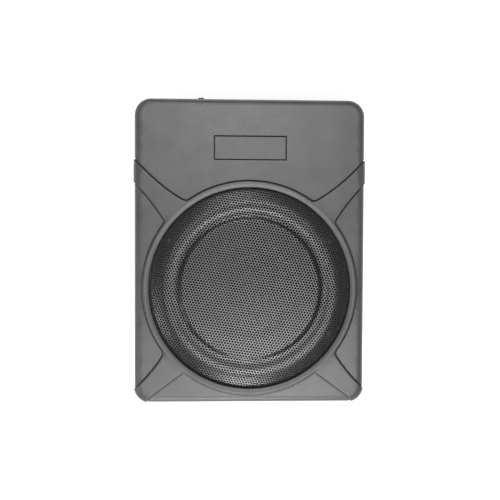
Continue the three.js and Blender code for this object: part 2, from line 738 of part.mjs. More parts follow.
place('end_panel', endPanel(), blackPlastic);
place('power_terminal', powerTerminal(), blackPlastic);
place('fuse_holder', fuseHolder(), blackPlastic);
place('fuse', fuse(), fuseAmber);
place(
  'speaker_input_socket', socket(SPEAKER_SOCKET, SOCKET_BACK_Y, SOCKET_FRONT_Y, 10), greyPlastic,
);
place(
  'remote_socket', socket(REMOTE_SOCKET, SOCKET_BACK_Y, SOCKET_FRONT_Y - 0.5, 9), greyPlastic,
);
place('rca_jack_left', rcaJack(RCA_PLACES.left), blackPlastic);
place('rca_jack_right', rcaJack(RCA_PLACES.right), blackPlastic);
Object.entries(POTENTIOMETERS).forEach(([use, x]) => {
  place(`${use}_potentiometer`, potentiometer(x), greyPlastic);
});
place('level_knob', knob(LEVEL_X, KNOB_END_Y), blackPlastic);
place('crossover_knob', knob(CROSSOVER_X, PANEL_FACE_Y + 2), blackPlastic);
place('bass_knob', knob(BASS_X, PANEL_FACE_Y + 2), blackPlastic);
place('phase_switch', phaseSwitch(), greyPlastic);
place('phase_slider', phaseSlider(), blackPlastic);
place('power_led', powerLed(), ledRed);

export default assembly;
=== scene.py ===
"""A slim powered car subwoofer for the space under a seat: the visual model, built around the CAD frame.

Shapes are worked out in millimetres about the housing's own centre, X right, Y towards the end panel,
Z up, and each piece is moved into the frame and scaled to metres when it is made.
"""

import json
import math

import bmesh
import bpy
import numpy as np
from mathutils import Matrix, Vector
from mathutils.geometry import delaunay_2d_cdt


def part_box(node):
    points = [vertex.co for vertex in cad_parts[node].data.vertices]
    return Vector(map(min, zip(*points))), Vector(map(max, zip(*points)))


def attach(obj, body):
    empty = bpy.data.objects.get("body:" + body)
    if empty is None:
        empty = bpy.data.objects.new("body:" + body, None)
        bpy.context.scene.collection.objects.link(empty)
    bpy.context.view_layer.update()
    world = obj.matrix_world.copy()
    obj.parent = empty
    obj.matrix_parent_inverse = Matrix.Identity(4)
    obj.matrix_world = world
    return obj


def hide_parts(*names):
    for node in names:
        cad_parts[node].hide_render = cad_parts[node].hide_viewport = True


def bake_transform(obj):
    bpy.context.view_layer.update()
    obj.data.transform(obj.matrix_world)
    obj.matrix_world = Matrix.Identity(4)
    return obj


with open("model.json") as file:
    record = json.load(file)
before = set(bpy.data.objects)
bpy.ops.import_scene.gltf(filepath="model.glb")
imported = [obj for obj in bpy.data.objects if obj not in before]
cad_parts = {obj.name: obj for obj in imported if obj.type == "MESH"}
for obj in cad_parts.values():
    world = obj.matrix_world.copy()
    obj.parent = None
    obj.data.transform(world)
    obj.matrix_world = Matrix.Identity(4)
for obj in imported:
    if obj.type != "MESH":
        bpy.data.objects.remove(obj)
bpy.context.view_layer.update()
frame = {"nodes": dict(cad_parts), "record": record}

MM = 0.001
TINY = 1e-6
ROOT = "enclosure"

# ---------------------------------------------------------------- driving dimensions, mm
BODY_HALF = np.array([125.0, 165.0])
CORNER_RADIUS = 18.0
EDGE_RADIUS = 8.0
WALL = 3.0
FIELD_Z = 70.0
BODY_BOTTOM_Z = 3.0
BASE_TOP_Z = 4.5
BODY_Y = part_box("housing")[1].y / MM - BODY_HALF[1]
GRILLE_LOW, GRILLE_HIGH = (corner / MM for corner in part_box("grille"))
DRIVER_Y = (GRILLE_LOW.y + GRILLE_HIGH.y) / 2 - BODY_Y
GRILLE_RADIUS = (GRILLE_HIGH.y - GRILLE_LOW.y) / 2
OPENING_RADIUS = 109.3
RIM_RADIUS = 116.3
GRILLE_LEDGE_Z = 63.2
DRIVER_SEAT_Z = 57.0
PANEL_FACE_Y = 159.0
PANEL_BACK_Y = 157.0
PANEL_MOUTH_HALF = 100.0
CONTROL_Z = 44.0
GAP = 0.3  # left between parts that meet


def on_both_sides(x, others):
    """Places at -x and x, each with every one of the other coordinate's values."""
    return [(side * x, other) for side in (-1, 1) for other in others]


BASE_SCREW_PLACES = on_both_sides(116, (-152, 30, 152))
FOOT_PLACES = on_both_sides(98, (-138, 138))
STANDOFF_PLACES = on_both_sides(98, (70, 138))
BRACKET_PLACES = on_both_sides(95, (-112, 112))
PANEL_SCREW_PLACES = on_both_sides(95, (17, 51))


def box_of(node):
    """The low and high corner of a CAD node in millimetres about the housing's centre."""
    low, high = (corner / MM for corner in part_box(node))
    low.y, high.y = low.y - BODY_Y, high.y - BODY_Y
    return low, high


# ---------------------------------------------------------------- mesh helpers
def shade(mesh, smooth_angle):
    """Smooth shading, with the edges sharper than smooth_angle degrees kept crisp."""
    mesh.polygons.foreach_set("use_smooth", [True] * len(mesh.polygons))
    mesh.set_sharp_from_angle(angle=math.radians(smooth_angle))


def face_outwards(mesh):
    bm = bmesh.new()
    bm.from_mesh(mesh)
    bmesh.ops.recalc_face_normals(bm, faces=bm.faces)
    bm.to_mesh(mesh)
    bm.free()


def add_piece(name, vertices, faces, smooth_angle=32):
    """A closed mesh from vertices in millimetres about the housing's centre."""
    mesh = bpy.data.meshes.new(name)
    placed = (np.asarray(vertices, float) + (0, BODY_Y, 0)) * MM
    mesh.from_pydata(placed.tolist(), [], faces)
    mesh.update()
    face_outwards(mesh)
    shade(mesh, smooth_angle)
    piece = bpy.data.objects.new(name, mesh)
    bpy.context.scene.collection.objects.link(piece)
    return piece


def carve(piece, cutter, operation="DIFFERENCE", smooth_angle=32):
    """Cuts the cutter out of the piece, or joins it on, and removes the cutter."""
    modifier = piece.modifiers.new("carve", "BOOLEAN")
    modifier.object = cutter
    modifier.operation = operation
    modifier.solver = "MANIFOLD"
    graph = bpy.context.evaluated_depsgraph_get()
    mesh = bpy.data.meshes.new_from_object(piece.evaluated_get(graph))
    piece.modifiers.clear()
    worn = piece.data
    piece.data = mesh
    mesh.name = piece.name
    bpy.data.meshes.remove(worn)
    spent = cutter.data
    bpy.data.objects.remove(cutter)
    bpy.data.meshes.remove(spent)
    shade(mesh, smooth_angle)
    return piece


def bridge(first, second):
    """Faces between two rows of vertex numbers, either of which may be a single point."""
    if len(first) == 1 and len(second) == 1:
        return []
    count = max(len(first), len(second))
    turn = [(i, (i + 1) % count) for i in range(count)]
    if len(first) == 1:
        return [(first[0], second[b], second[a]) for a, b in turn]
    if len(second) == 1:
        return [(first[a], first[b], second[0]) for a, b in turn]
    return [(first[a], first[b], second[b], second[a]) for a, b in turn]


def loft(name, rows, closed=False, smooth_angle=32):
    """Joins rows of points into one closed body: capped at its ends, or closed on itself."""
    vertices, numbers = [], []
    for row in rows:
        numbers.append(list(range(len(vertices), len(vertices) + len(row))))
        vertices.extend(row)
    faces = [face for a, b in zip(numbers, numbers[1:]) for face in bridge(a, b)]
    if closed:
        faces += bridge(numbers[-1], numbers[0])
    else:
        faces += [tuple(row) for row in (numbers[0][::-1], numbers[-1]) if len(row) > 2]
    return add_piece(name, vertices, faces, smooth_angle)


def lathe(name, profile, centre=(0, 0, 0), axis="Z", steps=96, ring=False, smooth_angle=32):
    """Turns a profile of (radius, height) points about an axis through centre."""
    angles = np.arange(steps) * 2 * math.pi / steps
    rows = []
    for radius, height in profile:
        turned = angles if radius > TINY else angles[:1]
        across, along = radius * np.cos(turned), radius * np.sin(turned)
        level = np.full(len(turned), float(height))
        row = (across, along, level) if axis == "Z" else (across, level, along)
        rows.append(np.column_stack(row) + centre)
    return loft(name, rows, ring, smooth_angle)


def rod(name, place, radius, low, high, axis="Z", steps=32):
    """A plain round bar, from low to high along its axis."""
    return lathe(name, [(0, low), (radius, low), (radius, high), (0, high)], place, axis, steps)


def soften(points, radius, steps=4, closed=True):
    """Rounds a polygon's corners by up to radius."""
    points = [np.asarray(p, float) for p in points]
    count = len(points)
    rounded = []
    for i, corner in enumerate(points):
        if not closed and i in (0, count - 1):
            rounded.append(corner)
            continue
        before, after = points[i - 1] - corner, points[(i + 1) % count] - corner
        lengths = np.linalg.norm(before), np.linalg.norm(after)
        start = corner + before / lengths[0] * min(radius, lengths[0] * 0.45)
        end = corner + after / lengths[1] * min(radius, lengths[1] * 0.45)
        rounded.extend(bezier(start, corner, end, steps))
    return rounded


def bezier(start, control, end, steps):
    share = np.linspace(0, 1, steps + 1)[:, None]
    start, control, end = (np.asarray(p, float) for p in (start, control, end))
    return (1 - share) ** 2 * start + 2 * share * (1 - share) * control + share**2 * end


def rounded_outline(half, radius, corner_steps=6, side_steps=1):
    """A rectangle with rounded corners about the origin, counter-clockwise."""
    half = np.asarray(half, float)
    radius = min(radius, *(half - TINY))
    signs = ((1, -1), (1, 1), (-1, 1), (-1, -1))
    corners = []
    for quarter, sign in enumerate(signs):
        angles = np.linspace(-math.pi / 2, 0, corner_steps + 1) + quarter * math.pi / 2
        centre = (half - radius) * sign
        corners.append(centre + radius * np.column_stack((np.cos(angles), np.sin(angles))))
    points = []
    for corner, following in zip(corners, corners[1:] + corners[:1]):
        points.extend(corner)
        shares = np.arange(1, side_steps) / side_steps
        points.extend(corner[-1] + share * (following[0] - corner[-1]) for share in shares)
    return np.array(points)


def rounded_levels(low, high, edge, steps=3):
    """(inset, position) levels for a slab whose two rims are rounded by edge."""
    turn = np.linspace(0, math.pi / 2, steps + 1)
    rise = [(edge * (1 - math.sin(a)), low + edge * (1 - math.cos(a))) for a in turn]
    return rise + [(inset, high + low - level) for inset, level in reversed(rise)]


def block(name, low, high, corner=1.0, edge=0.3, axis="Y", levels=None, smooth_angle=32):
    """A block with rounded corners about its axis and rounded rims, or with its own levels."""
    low, high = np.asarray(low, float), np.asarray(high, float)
    across = [0, 2] if axis == "Y" else [0, 1]
    along = 1 if axis == "Y" else 2
    half, centre = (high - low)[across] / 2, (high + low)[across] / 2
    rows = []
    for inset, level in levels or rounded_levels(low[along], high[along], edge):
        outline = rounded_outline(half - inset, max(corner - inset, 0.05)) + centre
        rows.append(np.insert(outline, along, level, axis=1))
    return loft(name, rows, smooth_angle=smooth_angle)


def pocket_levels(back, front, depth, wall, edge=0.3):
    """Levels for a block that opens towards the front: out, over its lip and down inside."""
    outside = rounded_levels(back, front, edge)
    inside = [
        (wall - edge, front), (wall - edge / 3, front - edge / 3), (wall, front - edge),
        (wall, front - depth),
    ]
    return outside + inside


def number_used(faces):
    """The vertices that faces use, and the faces with those vertices numbered from 0."""
    used = sorted({i for face in faces for i in face})
    renumber = {old: new for new, old in enumerate(used)}
    return used, [tuple(renumber[i] for i in face) for face in faces]


def circle_points(radius, steps):
    """Points evenly round a circle about the origin."""
    turn = np.linspace(0, 2 * math.pi, steps + 1)[:-1]
    return radius * np.column_stack((np.cos(turn), np.sin(turn)))


# ---------------------------------------------------------------- materials
class Surface:
    """A node material, built up one layer at a time."""

    def __init__(self, name, color, roughness, metallic=0.0, inputs=None):
        self.material = bpy.data.materials.new(name)
        self.material.use_nodes = True
        self.tree = self.material.node_tree
        self.shader = self.tree.nodes["Principled BSDF"]
        self.shader.inputs["Metallic"].default_value = metallic
        self.shader.inputs["Roughness"].default_value = roughness
        self.shader.inputs["Base Color"].default_value = (*color, 1)
        for key, value in (inputs or {}).items():
            self.shader.inputs[key].default_value = value
        self.color = color
        self.roughness = roughness
        coordinates = self.tree.nodes.new("ShaderNodeTexCoord")
        self.place = coordinates.outputs["Object"]

    def node(self, kind, inputs=None, **settings):
        node = self.tree.nodes.new(kind)
        for key, value in settings.items():
            setattr(node, key, value)
        for key, value in (inputs or {}).items():
            if isinstance(value, bpy.types.NodeSocket):
                self.tree.links.new(value, node.inputs[key])
            else:
                node.inputs[key].default_value = value
        return node

    def noise(self, size_mm, detail=2.0, stretch=None):
        """Noise whose features are about size_mm across."""
        place = self.place
        if stretch:
            mapping = self.node("ShaderNodeMapping", {"Vector": place, "Scale": stretch})
            place = mapping.outputs[0]
        settings = {"Vector": place, "Scale": 1 / (size_mm * MM), "Detail": detail}
        return self.node("ShaderNodeTexNoise", settings).outputs["Fac"]

    def cells(self, size_mm):
        settings = {"Vector": self.place, "Scale": 1 / (size_mm * MM)}
        return self.node("ShaderNodeTexVoronoi", settings).outputs["Distance"]

    def scaled(self, value, low, high):
        """Stretches the middle of a noise over a range."""
        limits = {"Value": value, "From Min": 0.25, "From Max": 0.75, "To Min": low, "To Max": high}
        return self.node("ShaderNodeMapRange", limits).outputs["Result"]

    def mixed(self, share, first, second, blend="MIX"):
        node = self.node("ShaderNodeMix", data_type="RGBA", blend_type=blend)
        for socket, value in ((node.inputs[0], share), (node.inputs[6], first), (node.inputs[7], second)):
            if isinstance(value, bpy.types.NodeSocket):
                self.tree.links.new(value, socket)
            else:
                socket.default_value = value
        return node.outputs[2]

    def paint(self, color):
        self.tree.links.new(color, self.shader.inputs["Base Color"])
        return self

    def mottle(self, size_mm, spread, detail=3.0):
        """Lightens and darkens the colour in soft patches."""
        dark = [*(c * (1 - spread) for c in self.color), 1]
        light = [*(c * (1 + spread) for c in self.color), 1]
        return self.paint(self.mixed(self.scaled(self.noise(size_mm, detail), 0, 1), dark, light))

    def gloss(self, size_mm, spread, detail=2.0, stretch=None):
        """Varies the roughness."""
        low, high = max(self.roughness - spread, 0.05), min(self.roughness + spread, 1)
        varied = self.scaled(self.noise(size_mm, detail, stretch), low, high)
        self.tree.links.new(varied, self.shader.inputs["Roughness"])
        return self

    def bump(self, height, depth_mm, strength=1.0):
        """Adds a layer of relief over what is already there."""
        socket = self.shader.inputs["Normal"]
        inputs = {"Height": height, "Distance": depth_mm * MM, "Strength": strength}
        if socket.links:
            inputs["Normal"] = socket.links[0].from_socket
        bump = self.node("ShaderNodeBump", inputs)
        self.tree.links.new(bump.outputs["Normal"], socket)
        return self

    def layers(self, patches, sheen, grain, relief, stretch=None):
        """Colour patches, uneven gloss and fine relief, each as the arguments of its own method."""
        self.mottle(*patches)
        self.gloss(*sheen)
        return self.bump(self.noise(*grain, stretch), *relief)

    def worn_edges(self, color, radius_mm=0.6, amount=0.6):
        """Shows a lighter colour where a corner would rub."""
        rounded = self.node("ShaderNodeBevel", {"Radius": radius_mm * MM}, samples=4)
        facing = self.node("ShaderNodeNewGeometry").outputs["Normal"]
        both = {0: rounded.outputs["Normal"], 1: facing}
        agreement = self.node("ShaderNodeVectorMath", both, operation="DOT_PRODUCT")
        limits = {"Value": agreement.outputs["Value"], "From Min": 0.99, "From Max": 0.85}
        edge = self.node("ShaderNodeMapRange", {**limits, "To Max": amount}).outputs["Result"]
        broken = self.node(
            "ShaderNodeMath", {0: edge, 1: self.scaled(self.noise(3.0), 0.2, 1)}, operation="MULTIPLY"
        ).outputs[0]
        socket = self.shader.inputs["Base Color"]
        under = socket.links[0].from_socket if socket.links else (*self.color, 1)
        return self.paint(self.mixed(broken, under, (*color, 1)))


def powder_coat(name, color, grain_mm=0.9):
    """Fine-textured satin powder coat, as on a cast housing."""
    surface = Surface(name, color, 0.37)
    surface.layers((24, 0.13), (1.2, 0.07), (grain_mm, 4), (0.16, 0.7))
    surface.bump(surface.cells(grain_mm * 1.8), 0.08, 0.35)
    surface.bump(surface.noise(14, 1), 0.2, 0.12)
    return surface.worn_edges([c * 1.5 for c in color]).material


def smooth_paint(name, color, roughness=0.42, refraction=1.5):
    surface = Surface(name, color, roughness, inputs={"IOR": refraction})
    surface.layers((18, 0.07), (2.5, 0.09), (1.4, 3), (0.03, 0.5))
    return surface.worn_edges([min(c * 3 + 0.05, 1) for c in color], 0.4, 0.5).material


def bare_metal(name, color, roughness=0.3, brushed=(1, 1, 14)):
    surface = Surface(name, color, roughness, 1.0)
    return surface.layers((9, 0.09), (0.8, 0.1, 3, brushed), (0.5, 3), (0.02, 0.45), brushed).material


def moulded_plastic(name, color, roughness=0.5):
    surface = Surface(name, color, roughness)
    surface.layers((11, 0.08), (1.6, 0.08), (0.35, 3), (0.03, 0.5))
    return surface.worn_edges([min(c * 1.8 + 0.01, 1) for c in color], 0.3, 0.4).material


def soft_rubber(name, color, grain_mm=0.5):
    surface = Surface(name, color, 0.82, inputs={"Specular IOR Level": 0.25})
    return surface.layers((6, 0.18), (1.0, 0.1), (grain_mm, 4), (0.06, 0.6)).material


def open_foam(name, color):
    surface = Surface(name, color, 0.95)
    surface.mottle(2, 0.3)
    surface.gloss(0.8, 0.05)
    return surface.bump(surface.cells(0.6), 0.25, 0.8).material


def pressed_pulp(name, color):
    """Paper pulp for a cone: short matted fibres."""
    surface = Surface(name, color, 0.78, inputs={"Specular IOR Level": 0.2})
    return surface.layers((4, 0.22), (1.5, 0.1), (0.6, 6), (0.12, 0.7), (1, 2.4, 1)).material


def woven_cloth(name, color, thread_mm=0.7):
    surface = Surface(name, color, 0.85)
    surface.mottle(5, 0.12)
    across, along = (
        surface.node(
            "ShaderNodeTexWave", {"Vector": surface.place, "Scale": 0.16 / (thread_mm * MM)},
            bands_direction=direction,
        ).outputs["Fac"]
        for direction in ("X", "Y")
    )
    weave = surface.node("ShaderNodeMath", {0: across, 1: along}, operation="MAXIMUM").outputs[0]
    surface.bump(weave, 0.15, 0.7)
    surface.gloss(2, 0.06)
    return surface.material


def circuit_board(name, color):
    """Solder mask with faint copper tracks under it."""
    surface = Surface(name, color, 0.35)
    tracks = surface.node(
        "ShaderNodeTexBrick",
        {"Vector": surface.place, "Scale": 90.0, "Mortar Size": 0.06, "Bias": 0.0},
        offset=0.4,
    ).outputs["Fac"]
    lighter = [*(c * 1.9 + 0.01 for c in color), 1]
    patches = surface.scaled(surface.noise(22, 1), 0, 1)
    share = surface.node("ShaderNodeMath", {0: tracks, 1: patches}, operation="MULTIPLY").outputs[0]
    surface.paint(surface.mixed(share, (*color, 1), lighter))
    surface.gloss(6, 0.06)
    surface.bump(share, 0.03, 0.5)
    return surface.material


def clear_tint(name, color):
    """Tinted translucent plastic, for a fuse and a lamp's lens."""
    surface = Surface(name, color, 0.12, inputs={"Transmission Weight": 0.45, "IOR": 1.49})
    return surface.layers((4, 0.1), (1.5, 0.05), (1.2, 2), (0.01, 0.4)).material


SHELL_COLOR = (0.072, 0.0725, 0.074)
MATERIALS = {
    "coated_aluminium": powder_coat("powder_coat", SHELL_COLOR),
    "badge_plastic": powder_coat("badge_coat", [c * 1.04 for c in SHELL_COLOR], 0.6),
    "coated_steel": smooth_paint("black_painted_steel", (0.022, 0.023, 0.025)),
    "grille_steel": smooth_paint("grille_paint", (0.029, 0.0296, 0.0312), 0.36, 2.0),
    "foam": open_foam("gasket_foam", (0.012, 0.012, 0.013)),
    "rubber": soft_rubber("black_rubber", (0.011, 0.011, 0.012)),
    "paper_cone": pressed_pulp("black_pulp", (0.009, 0.009, 0.01)),
    "coil_wire": bare_metal("enamelled_copper", (0.62, 0.27, 0.12), 0.32, (6, 6, 1)),
    "spider_cloth": woven_cloth("dipped_cloth", (0.42, 0.29, 0.11)),
    "zinc_steel": bare_metal("zinc_plate", (0.55, 0.56, 0.57), 0.3),
    "ferrite": soft_rubber("sintered_ferrite", (0.035, 0.036, 0.038), 0.9),
    "black_plastic": moulded_plastic("black_plastic", (0.016, 0.016, 0.017)),
    "terminal_plastic": moulded_plastic("terminal_plastic", (0.02, 0.02, 0.022), 0.36),
    "socket_plastic": moulded_plastic("nylon", (0.52, 0.51, 0.47), 0.45),
    "jack_metal": bare_metal("nickel_plate", (0.66, 0.65, 0.62), 0.2),
    "circuit_board": circuit_board("solder_mask", (0.012, 0.09, 0.035)),
    "bare_aluminium": bare_metal("extruded_aluminium", (0.7, 0.71, 0.72), 0.36, (1, 18, 1)),
    "capacitor_sleeve": moulded_plastic("capacitor_sleeve", (0.02, 0.024, 0.05), 0.3),
    "fuse_plastic": clear_tint("fuse_amber", (0.75, 0.25, 0.02)),
    "led_lens": clear_tint("lamp_red", (0.6, 0.02, 0.015)),
}
INSULATOR_COLORS = {"left": (0.75, 0.74, 0.7), "right": (0.55, 0.02, 0.02)}


def finish_piece(piece, slot, body=ROOT, replaces=(), material=None):
    """Gives a new piece the material of its slot, or the one given, puts it in its body and hides what it
    stands for.
    """
    piece.data.materials.clear()
    piece.data.materials.append(material or MATERIALS[slot])
    piece.modifiers.new("flatten_faces", "WEIGHTED_NORMAL").keep_sharp = True
    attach(piece, body)
    if replaces:
        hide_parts(*replaces)
    return piece


# ---------------------------------------------------------------- housing
CORE_HALF = BODY_HALF - CORNER_RADIUS
CORE_RADIUS = CORNER_RADIUS - EDGE_RADIUS
ROLL = EDGE_RADIUS * math.pi / 2
BAND_RISE = 1.7
SIDE_RISE = 1.2
RIM_CREST = 0.6
RIM_CREST_SHARE = 0.45
RIM_DROP = 1.15
LIP = 0.4
RIM_CIRCLES = (109.3, 109.35, 109.5, 109.6, 109.7, 110.9, 112, 113.1, 114.2)
CORNER_REACH = 3.4
FINE = 0.3
OUTLINE_SPACING = 1.5
GRID_SPACING = 6.0
ROLL_STEPS = 8
# Across a band's edge, field side first: distance from its line, share of the band's rise,
# and share of the depth of the groove along its foot.
STEP_AT = np.array([-1.15, -0.95, -0.45, 0.15, 0.75, 1.0, 1.5])
STEP_RISE = np.array([0, 0, 0, 0, 0.84, 0.96, 1])
STEP_GROOVE = np.array([0, 0.14, 0.6, 1, 0, 0, 0])
GROOVE_DEPTHS = np.array([2.2, 1.5, 2.2, 0.3])
# Each band edge, about the grille's centre on the right: a point outside the body, where it
# meets the side, the control point of its curve, and its corner on the rim.
UPPER_BAND_TOP = ((130, 145.4), (123.3, 138), (95.7, 107.6), (69.5, 94))
UPPER_BAND_FOOT = ((130, 118.9), (123.4, 112.3), (105.5, 94.2), (91.8, 71.8))
LOWER_BAND_TOP = ((130, -115), (123.9, -109), (104.6, -90.3), (93.4, -72))
LOWER_BAND_FOOT = ((116.6, -132), (107.3, -118.2), (89.2, -104.8), (71.1, -91.5))


def from_core(points):
    """For flat points: the nearest point of the core rectangle, and the way and distance from it."""
    core = np.clip(points, -CORE_HALF, CORE_HALF)
    away = points - core
    distance = np.linalg.norm(away, axis=1)
    return core, away / np.maximum(distance, TINY)[:, None], distance


def unroll(plan):
    """Points seen from above, moved to where they lie with the rounded edge rolled flat."""
    core, direction, distance = from_core(plan)
    over = np.clip((distance - CORE_RADIUS) / EDGE_RADIUS, 0, 1)
    reach = np.minimum(distance, CORE_RADIUS) + EDGE_RADIUS * np.arcsin(over)
    return core + direction * reach[:, None]


def wrap(flat, lift):
    """Flat points wrapped back over the rounded edge and lifted off it."""
    core, direction, distance = from_core(flat)
    angle = np.clip((distance - CORE_RADIUS) / EDGE_RADIUS, 0, math.pi / 2)
    reach = np.minimum(distance, CORE_RADIUS) + (EDGE_RADIUS + lift) * np.sin(angle)
    height = FIELD_Z - EDGE_RADIUS + (EDGE_RADIUS + lift) * np.cos(angle)
    return np.column_stack((core + direction * reach[:, None], height))


def sampled(points, spacing):
    """A polyline with its points moved to an even spacing."""
    lengths = np.r_[0, np.cumsum(np.linalg.norm(np.diff(points, axis=0), axis=1))]
    stops = np.linspace(0, lengths[-1], max(int(lengths[-1] / spacing), 1) + 1)
    return np.column_stack([np.interp(stops, lengths, points[:, k]) for k in (0, 1)])


def band_edge(side, edge):
    """One band edge from outside the body in to the rim."""
    outside, start, control, corner = (np.array(p) * (side, 1.0) for p in edge)
    curve = bezier(start, control, corner, 60)
    return sampled(np.vstack((outside, curve)), FINE)


def join_softly(first, second):
    """Joins two polylines that meet, with the corner between them rounded."""
    cut = int(CORNER_REACH / FINE)
    corner = bezier(first[-1 - cut], first[-1], second[cut], 12)
    return np.vstack((first[: -1 - cut], corner, second[cut + 1 :]))


def field_outline(first, second):
    """The line round a field between two bands, clockwise about the grille, unrolled flat."""
    inward, outward = band_edge(*first), band_edge(*second)[::-1]
    start = math.atan2(inward[-1][1], inward[-1][0])
    end = math.atan2(outward[0][1], outward[0][0])
    if end > start:
        end -= 2 * math.pi
    angles = np.linspace(start, end, int((start - end) * RIM_RADIUS / FINE))
    arc = RIM_RADIUS * np.column_stack((np.cos(angles), np.sin(angles)))
    arc[0], arc[-1] = inward[-1], outward[0]
    plan = join_softly(join_softly(inward, arc), outward) + (0, DRIVER_Y)
    overhang = from_core(plan)[2] - CORE_RADIUS
    kept = plan[overhang < EDGE_RADIUS * 0.995]
    return to_rim(sampled(unroll(kept), OUTLINE_SPACING))


def to_rim(line):
    """Adds an end point on the roll's outer limit at both ends of a flat line."""
    ends = line[[0, -1]]
    core, direction, _ = from_core(ends)
    limits = core + direction * (CORE_RADIUS + ROLL)
    return np.vstack((limits[:1], line, limits[1:]))


def offset_line(line, distance):
    """The line moved to its right by distance, with its ends kept on the roll's outer limit."""
    along = np.gradient(line, axis=0)
    along /= np.linalg.norm(along, axis=1)[:, None]
    moved = line + distance * np.column_stack((along[:, 1], -along[:, 0]))
    core, direction, _ = from_core(moved[[0, -1]])
    moved[[0, -1]] = core + direction * (CORE_RADIUS + ROLL)
    return moved


def signed_distance(points, lines):
    """Distance to the nearest line, positive to its right, the raised side, and which line it is."""
    owner = np.concatenate([np.full(len(line) - 1, i) for i, line in enumerate(lines)])
    starts = np.vstack([line[:-1] for line in lines])
    spans = np.vstack([np.diff(line, axis=0) for line in lines])
    squares = (spans**2).sum(1)
    result, owners = np.empty(len(points)), np.empty(len(points), int)
    for first in range(0, len(points), 2000):
        some = points[first : first + 2000]
        offsets = some[:, None] - starts
        share = np.clip((offsets * spans).sum(2) / squares, 0, 1)
        gaps = offsets - share[..., None] * spans
        distance = np.linalg.norm(gaps, axis=2)
        nearest = distance.argmin(1)
        row = np.arange(len(some))
        gap, span = gaps[row, nearest], spans[nearest]
        side = np.sign(span[:, 1] * gap[:, 0] - span[:, 0] * gap[:, 1])
        result[first : first + 2000] = distance[row, nearest] * side
        owners[first : first + 2000] = owner[nearest]
    return result, owners


def rim_lift(radius):
    """The rim's own shape above the bands: a rounded crest that falls to a tight inner lip."""
    share = np.clip((RIM_RADIUS - radius) / (RIM_RADIUS - OPENING_RADIUS), 0, 1)
    outer = np.clip(1 - share / RIM_CREST_SHARE, 0, 1)
    inner = np.clip((share - RIM_CREST_SHARE) / (1 - RIM_CREST_SHARE), 0, 1)
    into = np.clip((OPENING_RADIUS + LIP - radius) / LIP, 0, 1)
    lip = LIP * (1 - np.sqrt(1 - into**2 * 0.98))
    return RIM_CREST * (1 - outer**2) - RIM_DROP * inner**1.2 - lip


def top_points(outlines):
    """Flat points for the housing's top, and the constrained edges between some of them."""
    points, edges = [], []

    def add_line(line, closed=False):
        first = sum(len(p) for p in points)
        points.append(line)
        edges.extend((first + i, first + i + 1) for i in range(len(line) - 1))
        if closed:
            edges.append((first + len(line) - 1, first))

    for line in outlines:
        for distance in STEP_AT:
            add_line(offset_line(line, distance))
    for radius in RIM_CIRCLES:
        add_line(circle_points(radius, 240) + (0, DRIVER_Y), closed=True)

    ends = np.vstack([points[i][[0, -1]] for i in range(len(outlines) * len(STEP_AT))])
    base = rounded_outline(CORE_HALF + CORE_RADIUS, CORE_RADIUS, 12, 36)
    core, direction, _ = from_core(base)
    shares = np.arange(ROLL_STEPS) / ROLL_STEPS
    rows = [core + direction * (CORE_RADIUS + share * ROLL) for share in shares]
    lines = [np.arange(-half, half + 1, GRID_SPACING) for half in CORE_HALF + 7]
    grid = np.stack(np.meshgrid(*lines), -1).reshape(-1, 2)
    loose = np.vstack((*rows, grid))
    rim_gap = np.hypot(loose[:, 0], loose[:, 1] - DRIVER_Y) - RIM_RADIUS
    distance, _ = signed_distance(loose, outlines)
    points.append(loose[((distance < -2.0) | (distance > 2.1)) & (rim_gap > -1)])

    limit = core + direction * (CORE_RADIUS + ROLL)
    gap = np.linalg.norm(limit[:, None] - ends, axis=2).min(1)
    border = np.vstack((limit[gap > 0.7], ends))
    border = border[np.argsort(np.arctan2(border[:, 1], border[:, 0]))]
    add_line(border, closed=True)
    return np.vstack(points), edges


def walk_border(faces):
    """The loops of vertices round the open edges of a mesh, in order."""
    following = {}
    for face in faces:
        for a, b in zip(face, face[1:] + face[:1]):
            following[a, b] = True
    border = {a: b for a, b in following if (b, a) not in following}
    loops = []
    while border:
        loop = [next(iter(border))]
        while loop[-1] in border:
            step = border.pop(loop[-1])
            if step == loop[0]:
                break
            loop.append(step)
        loops.append(loop)
    return loops


def flat_top(outlines):
    """The housing's top as a flat mesh, with the grille's opening left out."""
    points, edges = top_points(outlines)
    found = delaunay_2d_cdt([Vector(p) for p in points], edges, [], 0, 1e-4)
    flat = np.array([(v.x, v.y) for v in found[0]])
    faces = [tuple(face) for face in found[2]]
    corners = flat[np.array(faces)]
    middle = corners.mean(1)
    sides = corners[:, 1:] - corners[:, :1]
    area = np.abs(sides[:, 0, 0] * sides[:, 1, 1] - sides[:, 0, 1] * sides[:, 1, 0]) / 2
    solid = (np.hypot(middle[:, 0], middle[:, 1] - DRIVER_Y) > OPENING_RADIUS - 0.03) & (area > 1e-5)
    return flat, [face for face, kept in zip(faces, solid) if kept]


def top_lift(flat, outlines):
    """How far each flat point stands off the plain housing: bands, their grooves and the rim."""
    radius = np.hypot(flat[:, 0], flat[:, 1] - DRIVER_Y)
    distance, owner = signed_distance(flat, outlines)
    distance = np.where(radius < RIM_RADIUS - STEP_AT[-1], STEP_AT[-1], distance)
    over = np.clip((from_core(flat)[2] - CORE_RADIUS) / ROLL, 0, 1)
    lift = np.interp(distance, STEP_AT, STEP_RISE) * (BAND_RISE + over * (SIDE_RISE - BAND_RISE))
    lift -= np.interp(distance, STEP_AT, STEP_GROOVE) * GROOVE_DEPTHS[owner] * (1 - 0.6 * over)
    return lift + np.where(radius < RIM_RADIUS, rim_lift(radius), 0)


